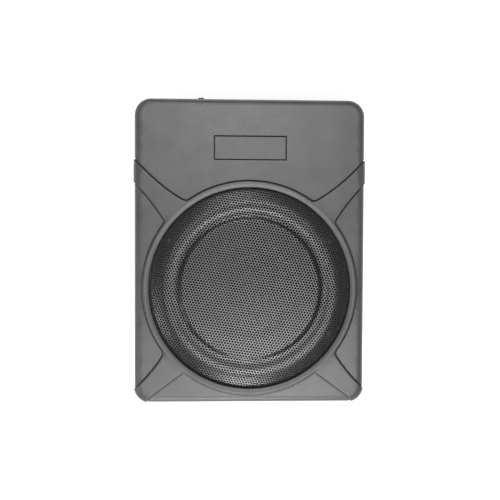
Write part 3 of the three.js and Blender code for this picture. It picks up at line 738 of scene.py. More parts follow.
def rows_below(ring, flat_ring):
    """The rows of points that carry one open border of the top down to its lower end."""
    if np.hypot(ring[:, 0], ring[:, 1] - DRIVER_Y).max() < RIM_RADIUS:
        return [np.column_stack((ring[:, :2], np.full(len(ring), GRILLE_LEDGE_Z)))]
    inward = -from_core(flat_ring)[1] * 0.8
    levels = (
        (0, 40), (0, 20), (0, BODY_BOTTOM_Z + 0.8), (0.3, BODY_BOTTOM_Z + 0.25), (1, BODY_BOTTOM_Z),
    )
    return [
        np.column_stack((ring[:, :2] + inward * inset, np.full(len(ring), level)))
        for inset, level in levels
    ]


def housing_outside():
    """The housing as a solid block with its finished outside: bands, rim and rounded edges."""
    outlines = [
        field_outline((-1, UPPER_BAND_TOP), (1, UPPER_BAND_TOP)),
        field_outline((-1, LOWER_BAND_TOP), (-1, UPPER_BAND_FOOT)),
        field_outline((1, UPPER_BAND_FOOT), (1, LOWER_BAND_TOP)),
        field_outline((1, LOWER_BAND_FOOT), (-1, LOWER_BAND_FOOT)),
    ]
    flat, faces = flat_top(outlines)
    vertices = wrap(flat, top_lift(flat, outlines))
    used, faces = number_used(faces)
    vertices, flat = vertices[used].tolist(), flat[used]
    for loop in walk_border(faces):
        previous = loop
        for row in rows_below(np.array([vertices[i] for i in loop]), flat[loop]):
            numbers = list(range(len(vertices), len(vertices) + len(row)))
            vertices.extend(row.tolist())
            faces += bridge(previous, numbers)
            previous = numbers
        faces.append(tuple(previous))
    return add_piece("cast_housing", vertices, faces, 28)


BADGE_RECESS = ((-39.5, 98.4, 68.2), (39.6, 125, 71))
# The dark sheet under the badge: painted shade for the gap round the plate.
BADGE_SHADE_SHEET = ((-39.2, 98.7, 68.25), (39.3, 124.7, 69.2))
WELL_RADII = (94.5, 106.2, 114)
BOSS_RADIUS = 4.5
PILOT_RADIUS = 1.9
FRAME_HALF = PANEL_MOUTH_HALF + 6


def add_well(housing):
    """The ring that the driver and the grille sit in."""
    inner, seat, outer = WELL_RADII
    roof = 69
    section = [
        (inner, 54), (outer, 54), (outer, roof), (OPENING_RADIUS, roof), (OPENING_RADIUS, GRILLE_LEDGE_Z),
        (seat, GRILLE_LEDGE_Z), (seat, DRIVER_SEAT_Z), (inner, DRIVER_SEAT_Z),
    ]
    carve(housing, lathe("well", section, (0, DRIVER_Y, 0), steps=240, ring=True), "UNION")


def add_bosses(housing, roof):
    """The columns that the base screws go into."""
    foot = BASE_TOP_Z + GAP
    pilot = [(0, BASE_TOP_Z - 1), (PILOT_RADIUS, BASE_TOP_Z - 1), (PILOT_RADIUS, 18), (0, 18.8)]
    for x, y in BASE_SCREW_PLACES:
        carve(housing, rod("column", (x, y, 0), BOSS_RADIUS, foot, roof), "UNION")
        carve(housing, lathe("hole", pilot, (x, y, 0), steps=24))


def open_panel_end(housing, roof):
    """The frame round the end panel, the posts behind it and the mouth it fills."""
    low, high = (-FRAME_HALF, PANEL_BACK_Y - 2, BASE_TOP_Z + GAP), (FRAME_HALF, 163, roof)
    carve(housing, block("panel_frame", low, high, 1, 0.2), "UNION")
    for side in (-1, 1):
        near, far = sorted((side * 90, side * FRAME_HALF))
        post = block("panel_post", (near, 147, 8), (far, PANEL_BACK_Y - GAP, roof), 1, 0.2)
        carve(housing, post, "UNION")
    levels = [(0, PANEL_BACK_Y - GAP), (0, 163.8), (-0.3, 164.5), (-0.9, 165.1), (-0.9, 172)]
    low, high = (-PANEL_MOUTH_HALF, 0, 11), (PANEL_MOUTH_HALF, 0, 57)
    carve(housing, block("mouth", low, high, 1.5, levels=levels))
    carve(housing, block("board_mouth", (-89, 154, 11), (89, PANEL_BACK_Y, 57), 1, 0.1))


def make_housing():
    housing = housing_outside()
    inside = BODY_HALF - WALL
    low, high = (*-inside, 2), (*inside, FIELD_Z - WALL)
    levels = [(0, 2), *rounded_levels(2, FIELD_Z - WALL, EDGE_RADIUS - WALL, 5)[6:]]
    carve(housing, block("cavity", low, high, CORNER_RADIUS - WALL, axis="Z", levels=levels))
    roof = FIELD_Z - WALL + 1
    add_well(housing)
    add_bosses(housing, roof)
    open_panel_end(housing, roof)
    carve(housing, block("badge_recess", *BADGE_RECESS, 0.6, 0.1, "Z"))
    return finish_piece(housing, "coated_aluminium", replaces=["housing"])


def make_badge():
    """A blank raised plate in a shallow recess, with a dark sheet under it as painted shade in the gap round
    the plate.
    """
    low, high = box_of("badge_plate")
    levels = [(0, low.z), (0, high.z - 0.35), (0.1, high.z - 0.1), (0.35, high.z)]
    plate = block("blank_badge", low, high, 0.7, axis="Z", levels=levels)
    finish_piece(plate, "badge_plastic", replaces=["badge_plate"])
    # Painted shade: a dark sheet under the plate darkens the gap round it.
    finish_piece(block("badge_shade_sheet", *BADGE_SHADE_SHEET, 0.5, 0.1, "Z"), "foam")


# ---------------------------------------------------------------- grille
HOLE_PITCH = 3.12
HOLE_RADIUS = 1.34
HOLE_SIDES = 12
ROW_TILT = math.radians(-9)
SHEET = 0.8
PLAIN_MARGIN = 1.5
MARGIN_STEPS = 360
GRILLE_PROFILE = np.array([
    (0, 74.8), (45, 74.8), (54, 75), (74.8, 75), (76.8, 73.1), (80, 72.8), (83, 72.9),
    (87, 73.7), (93, 73.7), (96, 73.1), (100, 71.8), (104, 70.3), (107.4, 68.8), (108.3, 67.6),
    (GRILLE_RADIUS, 65.2),
])


class Dish:
    """The stamped sheet's section: from a distance along it to a point and a normal."""

    def __init__(self, profile, softness=0.7, step=0.1):
        reach = profile[-1, 0]
        radius = np.arange(-20, reach + 20, step)
        height = np.interp(np.abs(radius), profile[:, 0], profile[:, 1])
        window = np.exp(-((np.arange(-40, 41) * step / softness) ** 2) / 2)
        smooth = np.convolve(height, window / window.sum(), "same")
        kept = (radius > -step / 2) & (radius < reach + step / 2)
        self.radius = radius[kept]
        self.height = smooth[kept]
        self.slope = np.gradient(self.height, self.radius)
        self.along = np.r_[0, np.cumsum(np.hypot(np.diff(self.radius), np.diff(self.height)))]
        self.length = self.along[-1]

    def point(self, flat, depth):
        """Flat points on the formed sheet, depth below its outer face."""
        distance = np.linalg.norm(flat, axis=1)
        outward = flat / np.maximum(distance, TINY)[:, None]
        radius, height, slope = (
            np.interp(distance, self.along, table) for table in (self.radius, self.height, self.slope)
        )
        steep = np.hypot(1, slope)
        radius = radius + depth * slope / steep
        height = height - depth / steep
        return np.column_stack((outward * radius[:, None] + (0, DRIVER_Y), height))


def hole_centres(reach):
    """Staggered hole centres within reach of the middle, on rows turned by ROW_TILT."""
    count = 2 * (int(reach / HOLE_PITCH) + 2)
    across, up = np.meshgrid(*[np.arange(-count, count + 1)] * 2)
    x = (across + 0.5 * (up % 2)).ravel() * HOLE_PITCH
    y = up.ravel() * HOLE_PITCH * math.sqrt(3) / 2
    cosine, sine = math.cos(ROW_TILT), math.sin(ROW_TILT)
    centres = np.column_stack((x, y)) @ np.array([[cosine, sine], [-sine, cosine]])
    return centres[np.linalg.norm(centres, axis=1) < reach]


def make_grille():
    """The perforated dish: one six-sided cell of sheet round each hole, and a plain margin."""
    dish = Dish(GRILLE_PROFILE)
    centres = hole_centres(dish.length - PLAIN_MARGIN)
    corner_turn = ROW_TILT + math.pi / 6 + np.arange(6) * math.pi / 3
    cell_radius = HOLE_PITCH / math.sqrt(3)
    cell = cell_radius * np.column_stack((np.cos(corner_turn), np.sin(corner_turn)))
    corners = (centres[:, None] + cell).reshape(-1, 2)
    _, first, cell_number = np.unique(
        np.round(corners, 3), axis=0, return_index=True, return_inverse=True
    )
    cell_number = cell_number.reshape(-1, 6)
    sheet = corners[first]

    hole_turn = ROW_TILT + math.pi / 6 + np.arange(HOLE_SIDES) * 2 * math.pi / HOLE_SIDES
    hole = HOLE_RADIUS * np.column_stack((np.cos(hole_turn), np.sin(hole_turn)))
    holes = (centres[:, None] + hole).reshape(-1, 2)
    hole_number = len(sheet) + np.arange(len(holes)).reshape(-1, HOLE_SIDES)
    per_corner = HOLE_SIDES // 6
    faces = []
    for number, ring in zip(cell_number.tolist(), hole_number.tolist()):
        for k in range(6):
            arc = [ring[(k * per_corner + j) % HOLE_SIDES] for j in range(per_corner, -1, -1)]
            faces.append((number[k], number[(k + 1) % 6], *arc))
    flat = np.vstack((sheet, holes))

    border = walk_border([tuple(number) for number in cell_number.tolist()])
    inner = [i for loop in border for i in loop]
    rings = [circle_points(radius, MARGIN_STEPS) for radius in (dish.length - 0.7, dish.length)]
    margin = np.vstack((flat[inner], *rings))
    margin_edges = []
    start = 0
    for count in (*(len(loop) for loop in border), MARGIN_STEPS, MARGIN_STEPS):
        margin_edges += [(start + i, start + (i + 1) % count) for i in range(count)]
        start += count
    found = delaunay_2d_cdt([Vector(p) for p in margin], margin_edges, [], 0, 1e-5)
    middles = np.array([np.mean([found[0][i][:] for i in face], axis=0) for face in found[2]])
    nearest = np.array([np.abs(cell_distance(centres, middle)).min() for middle in middles])
    number_of = [len(flat) + i for i in range(len(found[0]))]
    for i, origins in enumerate(found[3]):
        for origin in origins:
            if origin < len(inner):
                number_of[i] = inner[origin]
    faces += [
        tuple(number_of[i] for i in face)
        for face, gap in zip(found[2], nearest) if gap > HOLE_PITCH / 2
    ]
    flat = np.vstack((flat, np.array([(v.x, v.y) for v in found[0]])))

    count = len(flat)
    vertices = np.vstack((dish.point(flat, 0), dish.point(flat, SHEET)))
    back = [tuple(count + i for i in reversed(face)) for face in faces]
    walls = [
        (a, b, count + b, count + a)
        for loop in walk_border(faces) for a, b in zip(loop, loop[1:] + loop[:1])
    ]
    used, faces = number_used(faces + back + walls)
    grille = add_piece("perforated_grille", vertices[used], faces, 40)
    return finish_piece(grille, "grille_steel", replaces=["grille"])


def cell_distance(centres, point):
    """How far a point is from each cell's centre, measured so that a cell's edge is at half the pitch."""
    offset = point - centres
    turn = ROW_TILT + np.arange(3) * math.pi / 3
    across = offset @ np.array([np.cos(turn), np.sin(turn)])
    return np.abs(across).max(1)


# ---------------------------------------------------------------- driver
CENTRE = (0, DRIVER_Y, 0)
LIP_Z = 60.1
SECTORS = 12
SCREW_CIRCLE = 101.5
SCREW_TURN = (np.arange(6) + 0.5) * math.pi / 3
DRIVER_SCREW_PLACES = [
    (x, DRIVER_Y + y) for x, y in zip(SCREW_CIRCLE * np.cos(SCREW_TURN), SCREW_CIRCLE * np.sin(SCREW_TURN))
]


def sector_ring(name, profile, slot, node):
    """A ring in equal sectors, each reaching from the fixed frame to the cone."""
    steps = 10
    half = math.pi / SECTORS
    for number in range(SECTORS):
        middle = 2 * half * number
        angles = middle + np.linspace(-half, half, steps + 1)
        rows = [
            [(r * math.cos(a), DRIVER_Y + r * math.sin(a), z) for r, z in profile] for a in angles
        ]
        piece = loft(f"{name}_{number + 1}", rows)
        piece.data.materials.append(MATERIALS[slot])
        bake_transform(piece)
        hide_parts(node)


def make_surround():
    """The half-round rubber roll between the basket's flange and the cone's edge."""
    middle = 84.75

    def arc(half_width, rise, base):
        turn = np.linspace(0, math.pi, 17)
        return [(middle - half_width * math.cos(a), base + rise * math.sin(a)) for a in turn]

    under, over = arc(5.3, 4.8, LIP_Z), arc(6.25, 5.8, LIP_Z + 1)
    profile = [(75, LIP_Z), *under, (97, LIP_Z), (97, LIP_Z + 1), *over[::-1], (75, LIP_Z + 1)]
    sector_ring("surround", profile, "rubber", "surround")


def make_spider():
    """The corrugated cloth disc round the coil's former."""
    low, thickness = 41.7, 0.8
    reach = np.linspace(22, 50, 57)
    wave = 1.0 * (1 - np.cos((reach - 22) / 28 * 10 * math.pi))
    line = [(20.3, 0), *zip(reach, wave), (56, 0)]
    under = [(r, low + z) for r, z in line]
    over = [(r, low + thickness + z) for r, z in reversed(line)]
    sector_ring("spider", under + over, "spider_cloth", "spider")


def turned(name, profile, slot, node, body=ROOT, ring=True, softness=0.35, steps=96):
    """A lathe-turned driver piece with its corners eased."""
    eased = soften(profile, softness, 3, closed=ring)
    piece = lathe(name, eased, CENTRE, steps=steps, ring=ring)
    return finish_piece(piece, slot, body, [node])


def make_basket():
    profile = [
        (24, 36.1), (48, 36.1), (50, 38.9), (59, 38.9), (92, 54.5), (93.6, 57.3), (105.5, 57.3),
        (105.5, 59.8), (91.5, 59.8), (90.3, 56), (57.5, 41.4), (49, 41.4), (46.8, 38.6), (24, 38.6),
    ]
    basket = lathe("stamped_basket", soften(profile, 0.8, 3), CENTRE, steps=120, ring=True)
    for number in range(6):
        middle, half = number * math.pi / 3, math.radians(20)
        sweep = np.linspace(-half, half, 13) + middle
        outer = 87 * np.column_stack((np.cos(sweep), np.sin(sweep)))
        inner = 62 * np.column_stack((np.cos(sweep[::-1]), np.sin(sweep[::-1])))
        outline = np.array(soften(np.vstack((outer[[0]], outer[1:], inner)), 4, 4))
        rows = [np.column_stack((outline + (0, DRIVER_Y), np.full(len(outline), z))) for z in (30, 60)]
        carve(basket, loft("window", rows))
    drill_for_screws(basket)
    return finish_piece(basket, "coated_steel", replaces=["basket"])


def drill_for_screws(piece):
    for x, y in DRIVER_SCREW_PLACES:
        carve(piece, rod("hole", (x, y, 0), 2.4, LIP_Z - 10, LIP_Z + 6, steps=24))


def make_cone_and_coil():
    cone_profile = [
        (20.1, 46.6), (45, 51.6), (74, 58.2), (78.5, 58.7), (78.5, 59.8), (73.6, 59.6), (45, 53),
        (20.1, 48),
    ]
    turned("pulp_cone", cone_profile, "paper_cone", "cone", "cone_assembly", softness=3)
    radius = np.linspace(0, 30, 16)
    over = [(r, 56.6 - 5.5 * (r / 30) ** 2) for r in radius]
    under = [(r, z - 1.1) for r, z in over[:-1]]
    cap = lathe("domed_cap", under + over[::-1], CENTRE, steps=96)
    finish_piece(cap, "paper_cone", "cone_assembly", ["dust_cap"])
    winding = [(20.25 + 0.22 * (i % 2), 25.2 + i * 0.3) for i in range(40)]
    coil_profile = [(19, 25), (20, 25), *winding, (19.8, 37.3), (19.8, 49), (19, 49)]
    coil = lathe("wound_coil", coil_profile, CENTRE, steps=64, ring=True)
    finish_piece(coil, "coil_wire", "cone_assembly", ["voice_coil"])


def make_gasket():
    gasket = lathe(
        "flange_gasket", soften([(98, LIP_Z), (105.2, LIP_Z), (105.2, 61.9), (98, 61.9)], 0.4, 3),
        CENTRE, steps=120, ring=True,
    )
    drill_for_screws(gasket)
    finish_piece(gasket, "foam", replaces=["driver_gasket"])


def make_driver():
    make_cone_and_coil()
    make_surround()
    make_spider()
    make_basket()
    make_gasket()
    turned("foam_strip", [(106.6, 63.5), (108.7, 63.5), (108.7, 64.5), (106.6, 64.5)], "foam",
           "grille_foam_ring")
    turned("front_plate", [(21.2, 29.8), (46, 29.8), (46, 35.8), (21.2, 35.8)], "zinc_steel", "top_plate")
    turned("ring_magnet", [(24, 15.8), (50, 15.8), (50, 29.5), (24, 29.5)], "ferrite", "magnet",
           softness=0.8)
    yoke = [(0, 9.5), (45, 9.5), (46, 10.5), (46, 15.5), (18.3, 15.5), (18.3, 35.5), (0, 35.5)]
    turned("steel_yoke", yoke, "zinc_steel", "pole_yoke", ring=False)
    for number, (x, y) in enumerate(DRIVER_SCREW_PLACES, 1):
        place_screw(f"driver_fixing_{number}", (x, y, 62.2), "up", 3.6, 2, 1.9, 5,
                    [f"driver_screw_{number}"], "coated_steel")


# ---------------------------------------------------------------- fasteners and base
SCREW_TURNS = {
    "up": Matrix.Identity(3),
    "down": Matrix.Rotation(math.pi, 3, "X"),
    "out": Matrix.Rotation(-math.pi / 2, 3, "X"),
}


def place_screw(name, seat, facing, head_radius, head_height, shank_radius, shank_length,
                replaces=(), slot="zinc_steel"):
    """A pan-head screw with a cross recess, its head standing on seat."""
    dome = [
        (head_radius * math.cos(a), head_height * (0.45 + 0.55 * math.sin(a)))
        for a in np.linspace(0, math.pi / 2, 7)
    ]
    dome[-1] = (0, head_height)
    threads = []
    pitch = shank_radius * 0.55
    for i in range(int((shank_length - 1) / pitch)):
        threads += [(shank_radius * 0.82, -0.4 - i * pitch), (shank_radius, -0.4 - (i + 0.5) * pitch)]
    tip = [(0, -shank_length), (shank_radius * 0.5, -shank_length + 0.6)]
    profile = [*tip, *threads[::-1], (shank_radius * 0.82, 0), (head_radius * 0.94, 0), *dome]
    screw = lathe(name, profile, steps=24)
    arm, width = head_radius * 0.62, head_radius * 0.2
    for half in ((arm, width), (width, arm)):
        low, high = (-half[0], -half[1], head_height * 0.35), (*half, head_height + 1)
        carve(screw, block("recess", low, high, 0.1, 0.05, "Z"))
    back = Matrix.Translation((0, -BODY_Y * MM, 0))
    there = Matrix.Translation((Vector(seat) + Vector((0, BODY_Y, 0))) * MM)
    screw.data.transform(there @ SCREW_TURNS[facing].to_4x4() @ back)
    return finish_piece(screw, slot, replaces=replaces)


def make_base():
    half = BODY_HALF - WALL - GAP
    low, high = (*-half, BODY_BOTTOM_Z), (*half, BASE_TOP_Z)
    sheet = block("base_sheet", low, high, CORNER_RADIUS - WALL - GAP, 0.35, "Z")
    standoff = soften([(0, 4), (3.5, 4), (3.5, 9.7), (1.2, 9.7), (1.2, 6), (0, 6)], 0.3, 2, False)
    for x, y in STANDOFF_PLACES:
        carve(sheet, lathe("standoff", standoff, (x, y, 0), steps=32), "UNION")
    pad = soften([(0, 2.2), (9, 2.2), (10, 3.2), (9.5, 4), (0, 4)], 0.5, 3, False)
    for x, y in BRACKET_PLACES:
        carve(sheet, lathe("pad", pad, (x, y, 0), steps=64), "UNION")
    for radius, places in ((2.1, BRACKET_PLACES), (2, BASE_SCREW_PLACES)):
        for x, y in places:
            carve(sheet, rod("hole", (x, y, 0), radius, 1, 6))
    finish_piece(sheet, "coated_steel", replaces=["base_plate"])

    foot = soften([(0, 0.5), (5.2, 0.5), (5.8, 0), (8.2, 0), (9, 1), (9, 2.7), (0, 2.7)], 0.35, 3, False)
    for number, (x, y) in enumerate(FOOT_PLACES, 1):
        piece = lathe(f"rubber_foot_{number}", foot, (x, y, 0), steps=64)
        finish_piece(piece, "rubber", replaces=[f"foot_{number}"])
    for number, (x, y) in enumerate(BASE_SCREW_PLACES, 1):
        place_screw(f"base_fixing_{number}", (x, y, 2.7), "down", 3.6, 1.7, 1.5, 12,
                    [f"base_screw_{number}"], "coated_steel")


# ---------------------------------------------------------------- end panel
RCA_PLACES = {"left": -54, "right": -34}
RCA_Z = 22
KNOBS = {"level": (-54, 170), "crossover": (-34, 161), "bass": (-14, 161)}
PHASE_X = 6
LED_X = -72
SOCKET_BACK_Y = 143
SPEAKER_INPUT = {
    "x": -8, "width": 22, "low": 15, "high": 29, "front": 161, "depth": 10,
    "pins": 4, "pin_pitch": 4.2, "pin_width": 1.1,
}
REMOTE = {
    "x": -79, "width": 15, "low": 15, "high": 28, "front": 160.5, "depth": 9,
    "pins": 6, "pin_pitch": 1.5, "pin_width": 0.5,
}
FUSE_HOLDER = {"x": 20.5, "width": 25, "low": 20, "high": 31, "front": 161, "depth": 6}
POWER_TERMINAL = {"x": 63, "width": 46, "low": 16, "high": 40}
POLE_OFFSETS = (-14, 0, 14)
POLE_PORT_Z = 22.5
POLE_SCREW_Z = 34
FUSE_BLADE_OFFSET = 7


def corners(place, back, front, grow=0.0):
    x, half = place["x"], place["width"] / 2 + grow
    return (x - half, back, place["low"] - grow), (x + half, front, place["high"] + grow)


def bar(name, place, half, reach, corner, edge=0.3, levels=None):
    """A block along Y, by its (x, z) middle, half its width and height, and its two ends."""
    (x, z), (across, up), (back, front) = place, half, reach
    low, high = (x - across, back, z - up), (x + across, front, z + up)
    return block(name, low, high, corner, edge, levels=levels)


def make_end_panel():
    low, high = (-99.7, PANEL_BACK_Y, 11.3), (99.7, PANEL_FACE_Y, 56.7)
    panel = block("control_panel", low, high, 1.4, 0.3)
    through = (PANEL_BACK_Y - 1, PANEL_FACE_Y + 1)
    for place in (SPEAKER_INPUT, REMOTE, FUSE_HOLDER, POWER_TERMINAL):
        carve(panel, block("cutout", *corners(place, *through, GAP), 1, 0.1))
    holes = [(x, RCA_Z, 4.8) for x in RCA_PLACES.values()]
    holes += [(x, CONTROL_Z, 3.8) for x, _ in KNOBS.values()]
    for x, z, radius in (*holes, (LED_X, CONTROL_Z, 1.8)):
        carve(panel, rod("cutout", (x, 0, z), radius, *through, "Y", 48))
    carve(panel, bar("cutout", (PHASE_X, CONTROL_Z), (4.5, 2.4), through, 0.6, 0.1))
    for x, z in PANEL_SCREW_PLACES:
        carve(panel, rod("cutout", (x, 0, z), 1.7, *through, "Y", 24))
    finish_piece(panel, "black_plastic", replaces=["end_panel"])
    for number, (x, z) in enumerate(PANEL_SCREW_PLACES, 1):
        place_screw(f"panel_fixing_{number}", (x, PANEL_FACE_Y, z), "out", 3, 1.6, 1.5, 8)


def make_jacks():
    sleeve = [
        (4.6, 156.9), (4.6, 159.4), (4.15, 159.9), (4.15, 168), (3.85, 168.5), (3.4, 168.2),
        (3.4, 160.5), (0, 160.5), (0, 156.9),
    ]
    sleeve = soften(sleeve[::-1], 0.2, 2, False)
    collar = soften([(1.6, 160.7), (3.2, 160.7), (3.2, 167.4), (1.6, 167.4)], 0.3, 3)
    for side, x in RCA_PLACES.items():
        node = [f"rca_jack_{side}"]
        body = block(f"rca_body_{side}", (x - 5.5, 140, 11.9), (x + 5.5, 156.5, RCA_Z + 6), 1, 0.4)
        finish_piece(body, "black_plastic", replaces=node)
        barrel = lathe(f"rca_barrel_{side}", sleeve, (x, 0, RCA_Z), "Y", 64)
        finish_piece(barrel, "jack_metal", replaces=node)
        insulator = lathe(f"rca_insulator_{side}", collar, (x, 0, RCA_Z), "Y", 48, ring=True)
        tint = moulded_plastic(f"insulator_{side}", INSULATOR_COLORS[side], 0.4)
        finish_piece(insulator, "socket_plastic", material=tint)


def socket_shell(name, place):
    """An open-fronted shell at its place on the panel."""
    front = place["front"]
    levels = pocket_levels(SOCKET_BACK_Y, front, place["depth"], 2)
    return block(name, *corners(place, SOCKET_BACK_Y, front), 1.2, levels=levels)


def make_sockets():
    for name, place in (("speaker_input", SPEAKER_INPUT), ("remote", REMOTE)):
        shell = socket_shell(f"{name}_shell", place)
        finish_piece(shell, "socket_plastic", replaces=[f"{name}_socket"])
        middle = (place["low"] + place["high"]) / 2
        half = place["pin_width"] / 2
        reach = (place["front"] - place["depth"] - 1, place["front"] - 3)
        for i in range(place["pins"]):
            x = place["x"] + (i - (place["pins"] - 1) / 2) * place["pin_pitch"]
            pin = bar(f"{name}_pin_{i + 1}", (x, middle), (half, half), reach, 0.15, 0.15)
            finish_piece(pin, "jack_metal")


def make_power_terminal():
    body = block("terminal_body", *corners(POWER_TERMINAL, 140, 166), 1.6, 0.6)
    port_levels = [(0, 152), (0, 165.2), (-0.5, 166), (-0.5, 168)]
    poles = [(offset, POWER_TERMINAL["x"] + offset) for offset in POLE_OFFSETS]
    for offset, x in poles:
        carve(body, bar("port", (x, POLE_PORT_Z), (4.5, 4.5), (0, 0), 1, levels=port_levels))
        carve(body, rod("well", (x, 0, POLE_SCREW_Z), 3.9, 162.6, 168, "Y", 48))
        if offset:
            groove = x - math.copysign(7, offset)
            carve(body, bar("groove", (groove, 28), (0.6, 14), (163.5, 168), 0.2, 0.1))
    finish_piece(body, "terminal_plastic", replaces=["power_terminal"])
    clamp_levels = pocket_levels(152.3, 160, 7, 0.9, 0.2)
    for number, (_, x) in enumerate(poles, 1):
        seat = (x, 162.7, POLE_SCREW_Z)
        place_screw(f"clamp_screw_{number}", seat, "out", 3.4, 2, 2, 1.5, slot="jack_metal")
        clamp = bar(f"wire_clamp_{number}", (x, POLE_PORT_Z), (4, 4), (0, 0), 0.8, levels=clamp_levels)
        finish_piece(clamp, "jack_metal")


def make_fuse():
    holder = socket_shell("fuse_socket", FUSE_HOLDER)
    x, z = FUSE_HOLDER["x"], (FUSE_HOLDER["low"] + FUSE_HOLDER["high"]) / 2
    blades = {"left": x - FUSE_BLADE_OFFSET, "right": x + FUSE_BLADE_OFFSET}
    for blade in blades.values():
        carve(holder, bar("slit", (blade, z), (3, 0.8), (147, 156), 0.2, 0.1))
    finish_piece(holder, "black_plastic", replaces=["fuse_holder"])

    body_levels = [
        (0.9, 155.3), (0.8, 156), (0.8, 163), (0.2, 164), (0, 164.8), (0, 166.5), (0.3, 167),
    ]
    grip = bar("fuse_body", (x, z), (9.6, 3), (0, 0), 0.8, levels=body_levels)
    finish_piece(grip, "fuse_plastic", "fuse", ["fuse"])
    blade_levels = [(0.3, 148.5), (0, 150), (0, 156.4)]
    for end, blade in blades.items():
        leg = bar(f"fuse_blade_{end}", (blade, z), (2.5, 0.4), (0, 0), 0.1, levels=blade_levels)
        finish_piece(leg, "jack_metal", "fuse")


def make_knobs():
    """Slim knobs: a fluted grip, a rounded end and a slot across it."""
    flutes, points = 18, 144
    turn = np.arange(points) * 2 * math.pi / points
    for use, (x, end) in KNOBS.items():
        depth = 0.22 if use == "level" else 0.12
        wave = 1 - np.abs(np.cos(turn * flutes / 2)) ** 3
        levels = [(1.8, 150.7, 0), (1.8, 156.9, 0), (3.0, 157, 0), (3.2, 157.3, 0.5)]
        levels += [(3.2, 159.6, 1), (3.2, end - 0.9, 1), (3.1, end - 0.45, 0.4)]
        levels += [(2.85, end - 0.12, 0), (2.4, end, 0)]
        rows = []
        for radius, y, fluted in levels:
            reach = radius - depth * fluted * wave
            rows.append(np.column_stack((x + reach * np.cos(turn), np.full(points, y),
                                         CONTROL_Z + reach * np.sin(turn))))
        knob = loft(f"{use}_control", rows, smooth_angle=24)
        carve(knob, bar("slot", (x, CONTROL_Z), (0.45, 4), (end - 0.9, end + 1), 0.1, 0.05))
        finish_piece(knob, "black_plastic", f"{use}_knob", [f"{use}_knob"])


def make_phase_and_lamp():
    rest = PHASE_X - 2
    nub = bar("phase_lever", (rest, CONTROL_Z), (1.8, 1.6), (152.5, 161), 0.5, 0.4)
    for offset in (-1, 0, 1):
        carve(nub, bar("groove", (rest + offset, CONTROL_Z), (0.2, 2), (160.6, 162), 0.05, 0.03))
    finish_piece(nub, "black_plastic", "phase_slider", ["phase_slider"])
    dome = [(0, 142), (1.5, 142), (1.5, 159.2)]
    dome += [(1.5 * math.cos(a), 159.2 + 0.8 * math.sin(a)) for a in np.linspace(0.2, math.pi / 2, 6)]
    dome[-1] = (0, 160)
    finish_piece(lathe("power_lamp", dome, (LED_X, 0, CONTROL_Z), "Y", 32), "led_lens",
                 replaces=["power_led"])


# ---------------------------------------------------------------- amplifier
def wound_toroid(name, node, turns):
    """A ring core under a single layer of wire."""
    low, high = box_of(node)
    centre = (low + high) / 2
    outer, height = (high.x - low.x) / 2, high.z - low.z
    inner = outer * 0.4
    section = rounded_outline(((outer - inner) / 2, height / 2), 4.5, 5)
    steps = turns * 6
    rows = []
    for angle in np.arange(steps) * 2 * math.pi / steps:
        ridge = 0.35 * abs(math.sin(angle * turns / 2))
        ring = section * (1 - (0.35 - ridge) / (height / 2))
        reach = (outer + inner) / 2 + ring[:, 0]
        rows.append(np.column_stack((reach * math.cos(angle), reach * math.sin(angle), ring[:, 1])) + centre)
    finish_piece(loft(name, rows, closed=True), "coil_wire", replaces=[node])


def make_capacitor(number):
    low, high = box_of(f"capacitor_{number}")
    x, y, _ = (low + high) / 2
    radius, top = (high.x - low.x) / 2, high.z
    profile = [
        (0, low.z), (radius * 0.9, low.z), (radius, low.z + 1), (radius, low.z + 3),
        (radius - 0.5, low.z + 3.8), (radius, low.z + 4.6), (radius, top - 0.6),
        (radius * 0.9, top), (radius * 0.85, top - 0.5), (0, top - 0.5),
    ]
    can = lathe(f"capacitor_can_{number}", soften(profile, 0.4, 3, False), (x, y, 0), steps=64)
    for along, aside in ((radius * 0.7, 0.25), (0.25, radius * 0.7)):
        spot, far = (x - along, y - aside, top - 0.8), (x + along, y + aside, top + 1)
        carve(can, block("vent", spot, far, 0.1, 0.05, "Z"))
    finish_piece(can, "capacitor_sleeve", replaces=[f"capacitor_{number}"])


def make_amplifier():
    wound_toroid("wound_transformer", "transformer", 64)
    wound_toroid("wound_inductor", "output_inductor", 36)
    for number in (1, 2, 3):
        make_capacitor(number)


def dress_cad_nodes():
    """Materials for the CAD nodes that stay in view, with their edges eased."""
    slots = {row["node"]: row["material_slot"] for row in frame["record"]["subparts"]}
    for name, node in frame["nodes"].items():
        node.data.materials.clear()
        node.data.materials.append(MATERIALS[slots[name]])
        ease = node.modifiers.new("ease", "BEVEL")
        ease.width = 0.25 * MM
        ease.segments = 2
        ease.limit_method = "ANGLE"
        ease.angle_limit = math.radians(40)


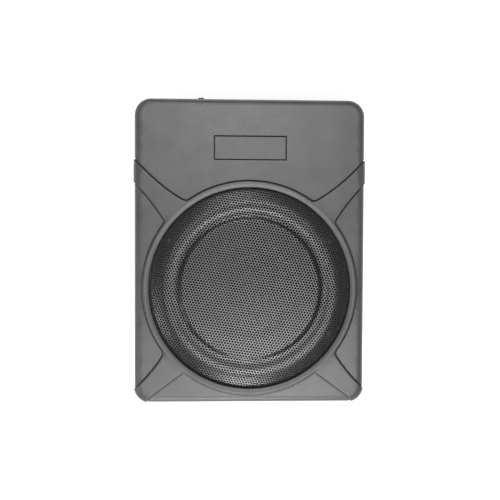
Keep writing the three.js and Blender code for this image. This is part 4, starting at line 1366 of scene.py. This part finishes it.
# ---------------------------------------------------------------- set, lights and camera
def make_floor():
    half, floor = 40.0, bpy.data.meshes.new("floor")
    floor.from_pydata([(-half, -half, 0), (half, -half, 0), (half, half, 0), (-half, half, 0)], [],
                      [(0, 1, 2, 3)])
    plane = bpy.data.objects.new("floor", floor)
    bpy.context.scene.collection.objects.link(plane)
    surface = Surface("pale_floor", (0.6, 0.6, 0.6), 0.9)
    surface.mottle(400, 0.01)
    surface.shader.inputs["Emission Color"].default_value = (1, 1, 1, 1)
    surface.shader.inputs["Emission Strength"].default_value = 0.65
    plane.data.materials.append(surface.material)


def add_light(name, place, size, power):
    """A soft light aimed at the middle of the housing's top."""
    light = bpy.data.lights.new(name, "AREA")
    light.shape = "RECTANGLE"
    light.size, light.size_y = size
    light.energy = power
    lamp = bpy.data.objects.new(name, light)
    lamp.location = place
    aim = Vector((0, 0, FIELD_Z * MM))
    lamp.rotation_euler = (aim - Vector(place)).to_track_quat("-Z", "Y").to_euler()
    bpy.context.scene.collection.objects.link(lamp)


def make_lights():
    world = bpy.data.worlds.new("studio")
    world.use_nodes = True
    background = world.node_tree.nodes["Background"]
    background.inputs["Color"].default_value = (1, 1, 1, 1)
    background.inputs["Strength"].default_value = 0.03
    bpy.context.scene.world = world
    add_light("low_front", (-0.05, -1.4, 0.8), (0.45, 0.8), 15)
    add_light("high_front", (0.1, -0.58, 1.57), (0.6, 0.5), 14.5)
    add_light("left", (-1.2, -0.6, 0.95), (0.5, 0.5), 4.5)
    add_light("high_back", (0.03, 0.5, 1.59), (0.6, 0.4), 9)
    add_light("low_back", (-0.15, 1.12, 1.2), (0.6, 0.5), 5)


def make_camera():
    data = bpy.data.cameras.new("camera")
    data.lens = 46.1
    data.sensor_width = 36
    camera = bpy.data.objects.new("camera", data)
    camera.location = (-0.0256, 0.0172, 0.762)
    camera.rotation_euler = [math.radians(a) for a in (-1.461, -2.119, 0.238)]
    bpy.context.scene.collection.objects.link(camera)
    bpy.context.scene.camera = camera
    bpy.context.scene.view_settings.view_transform = "Standard"


dress_cad_nodes()
make_camera()
make_housing()
make_badge()
make_grille()
make_driver()
make_base()
make_end_panel()
make_jacks()
make_sockets()
make_power_terminal()
make_fuse()
make_knobs()
make_phase_and_lamp()
make_amplifier()
make_floor()
make_lights()
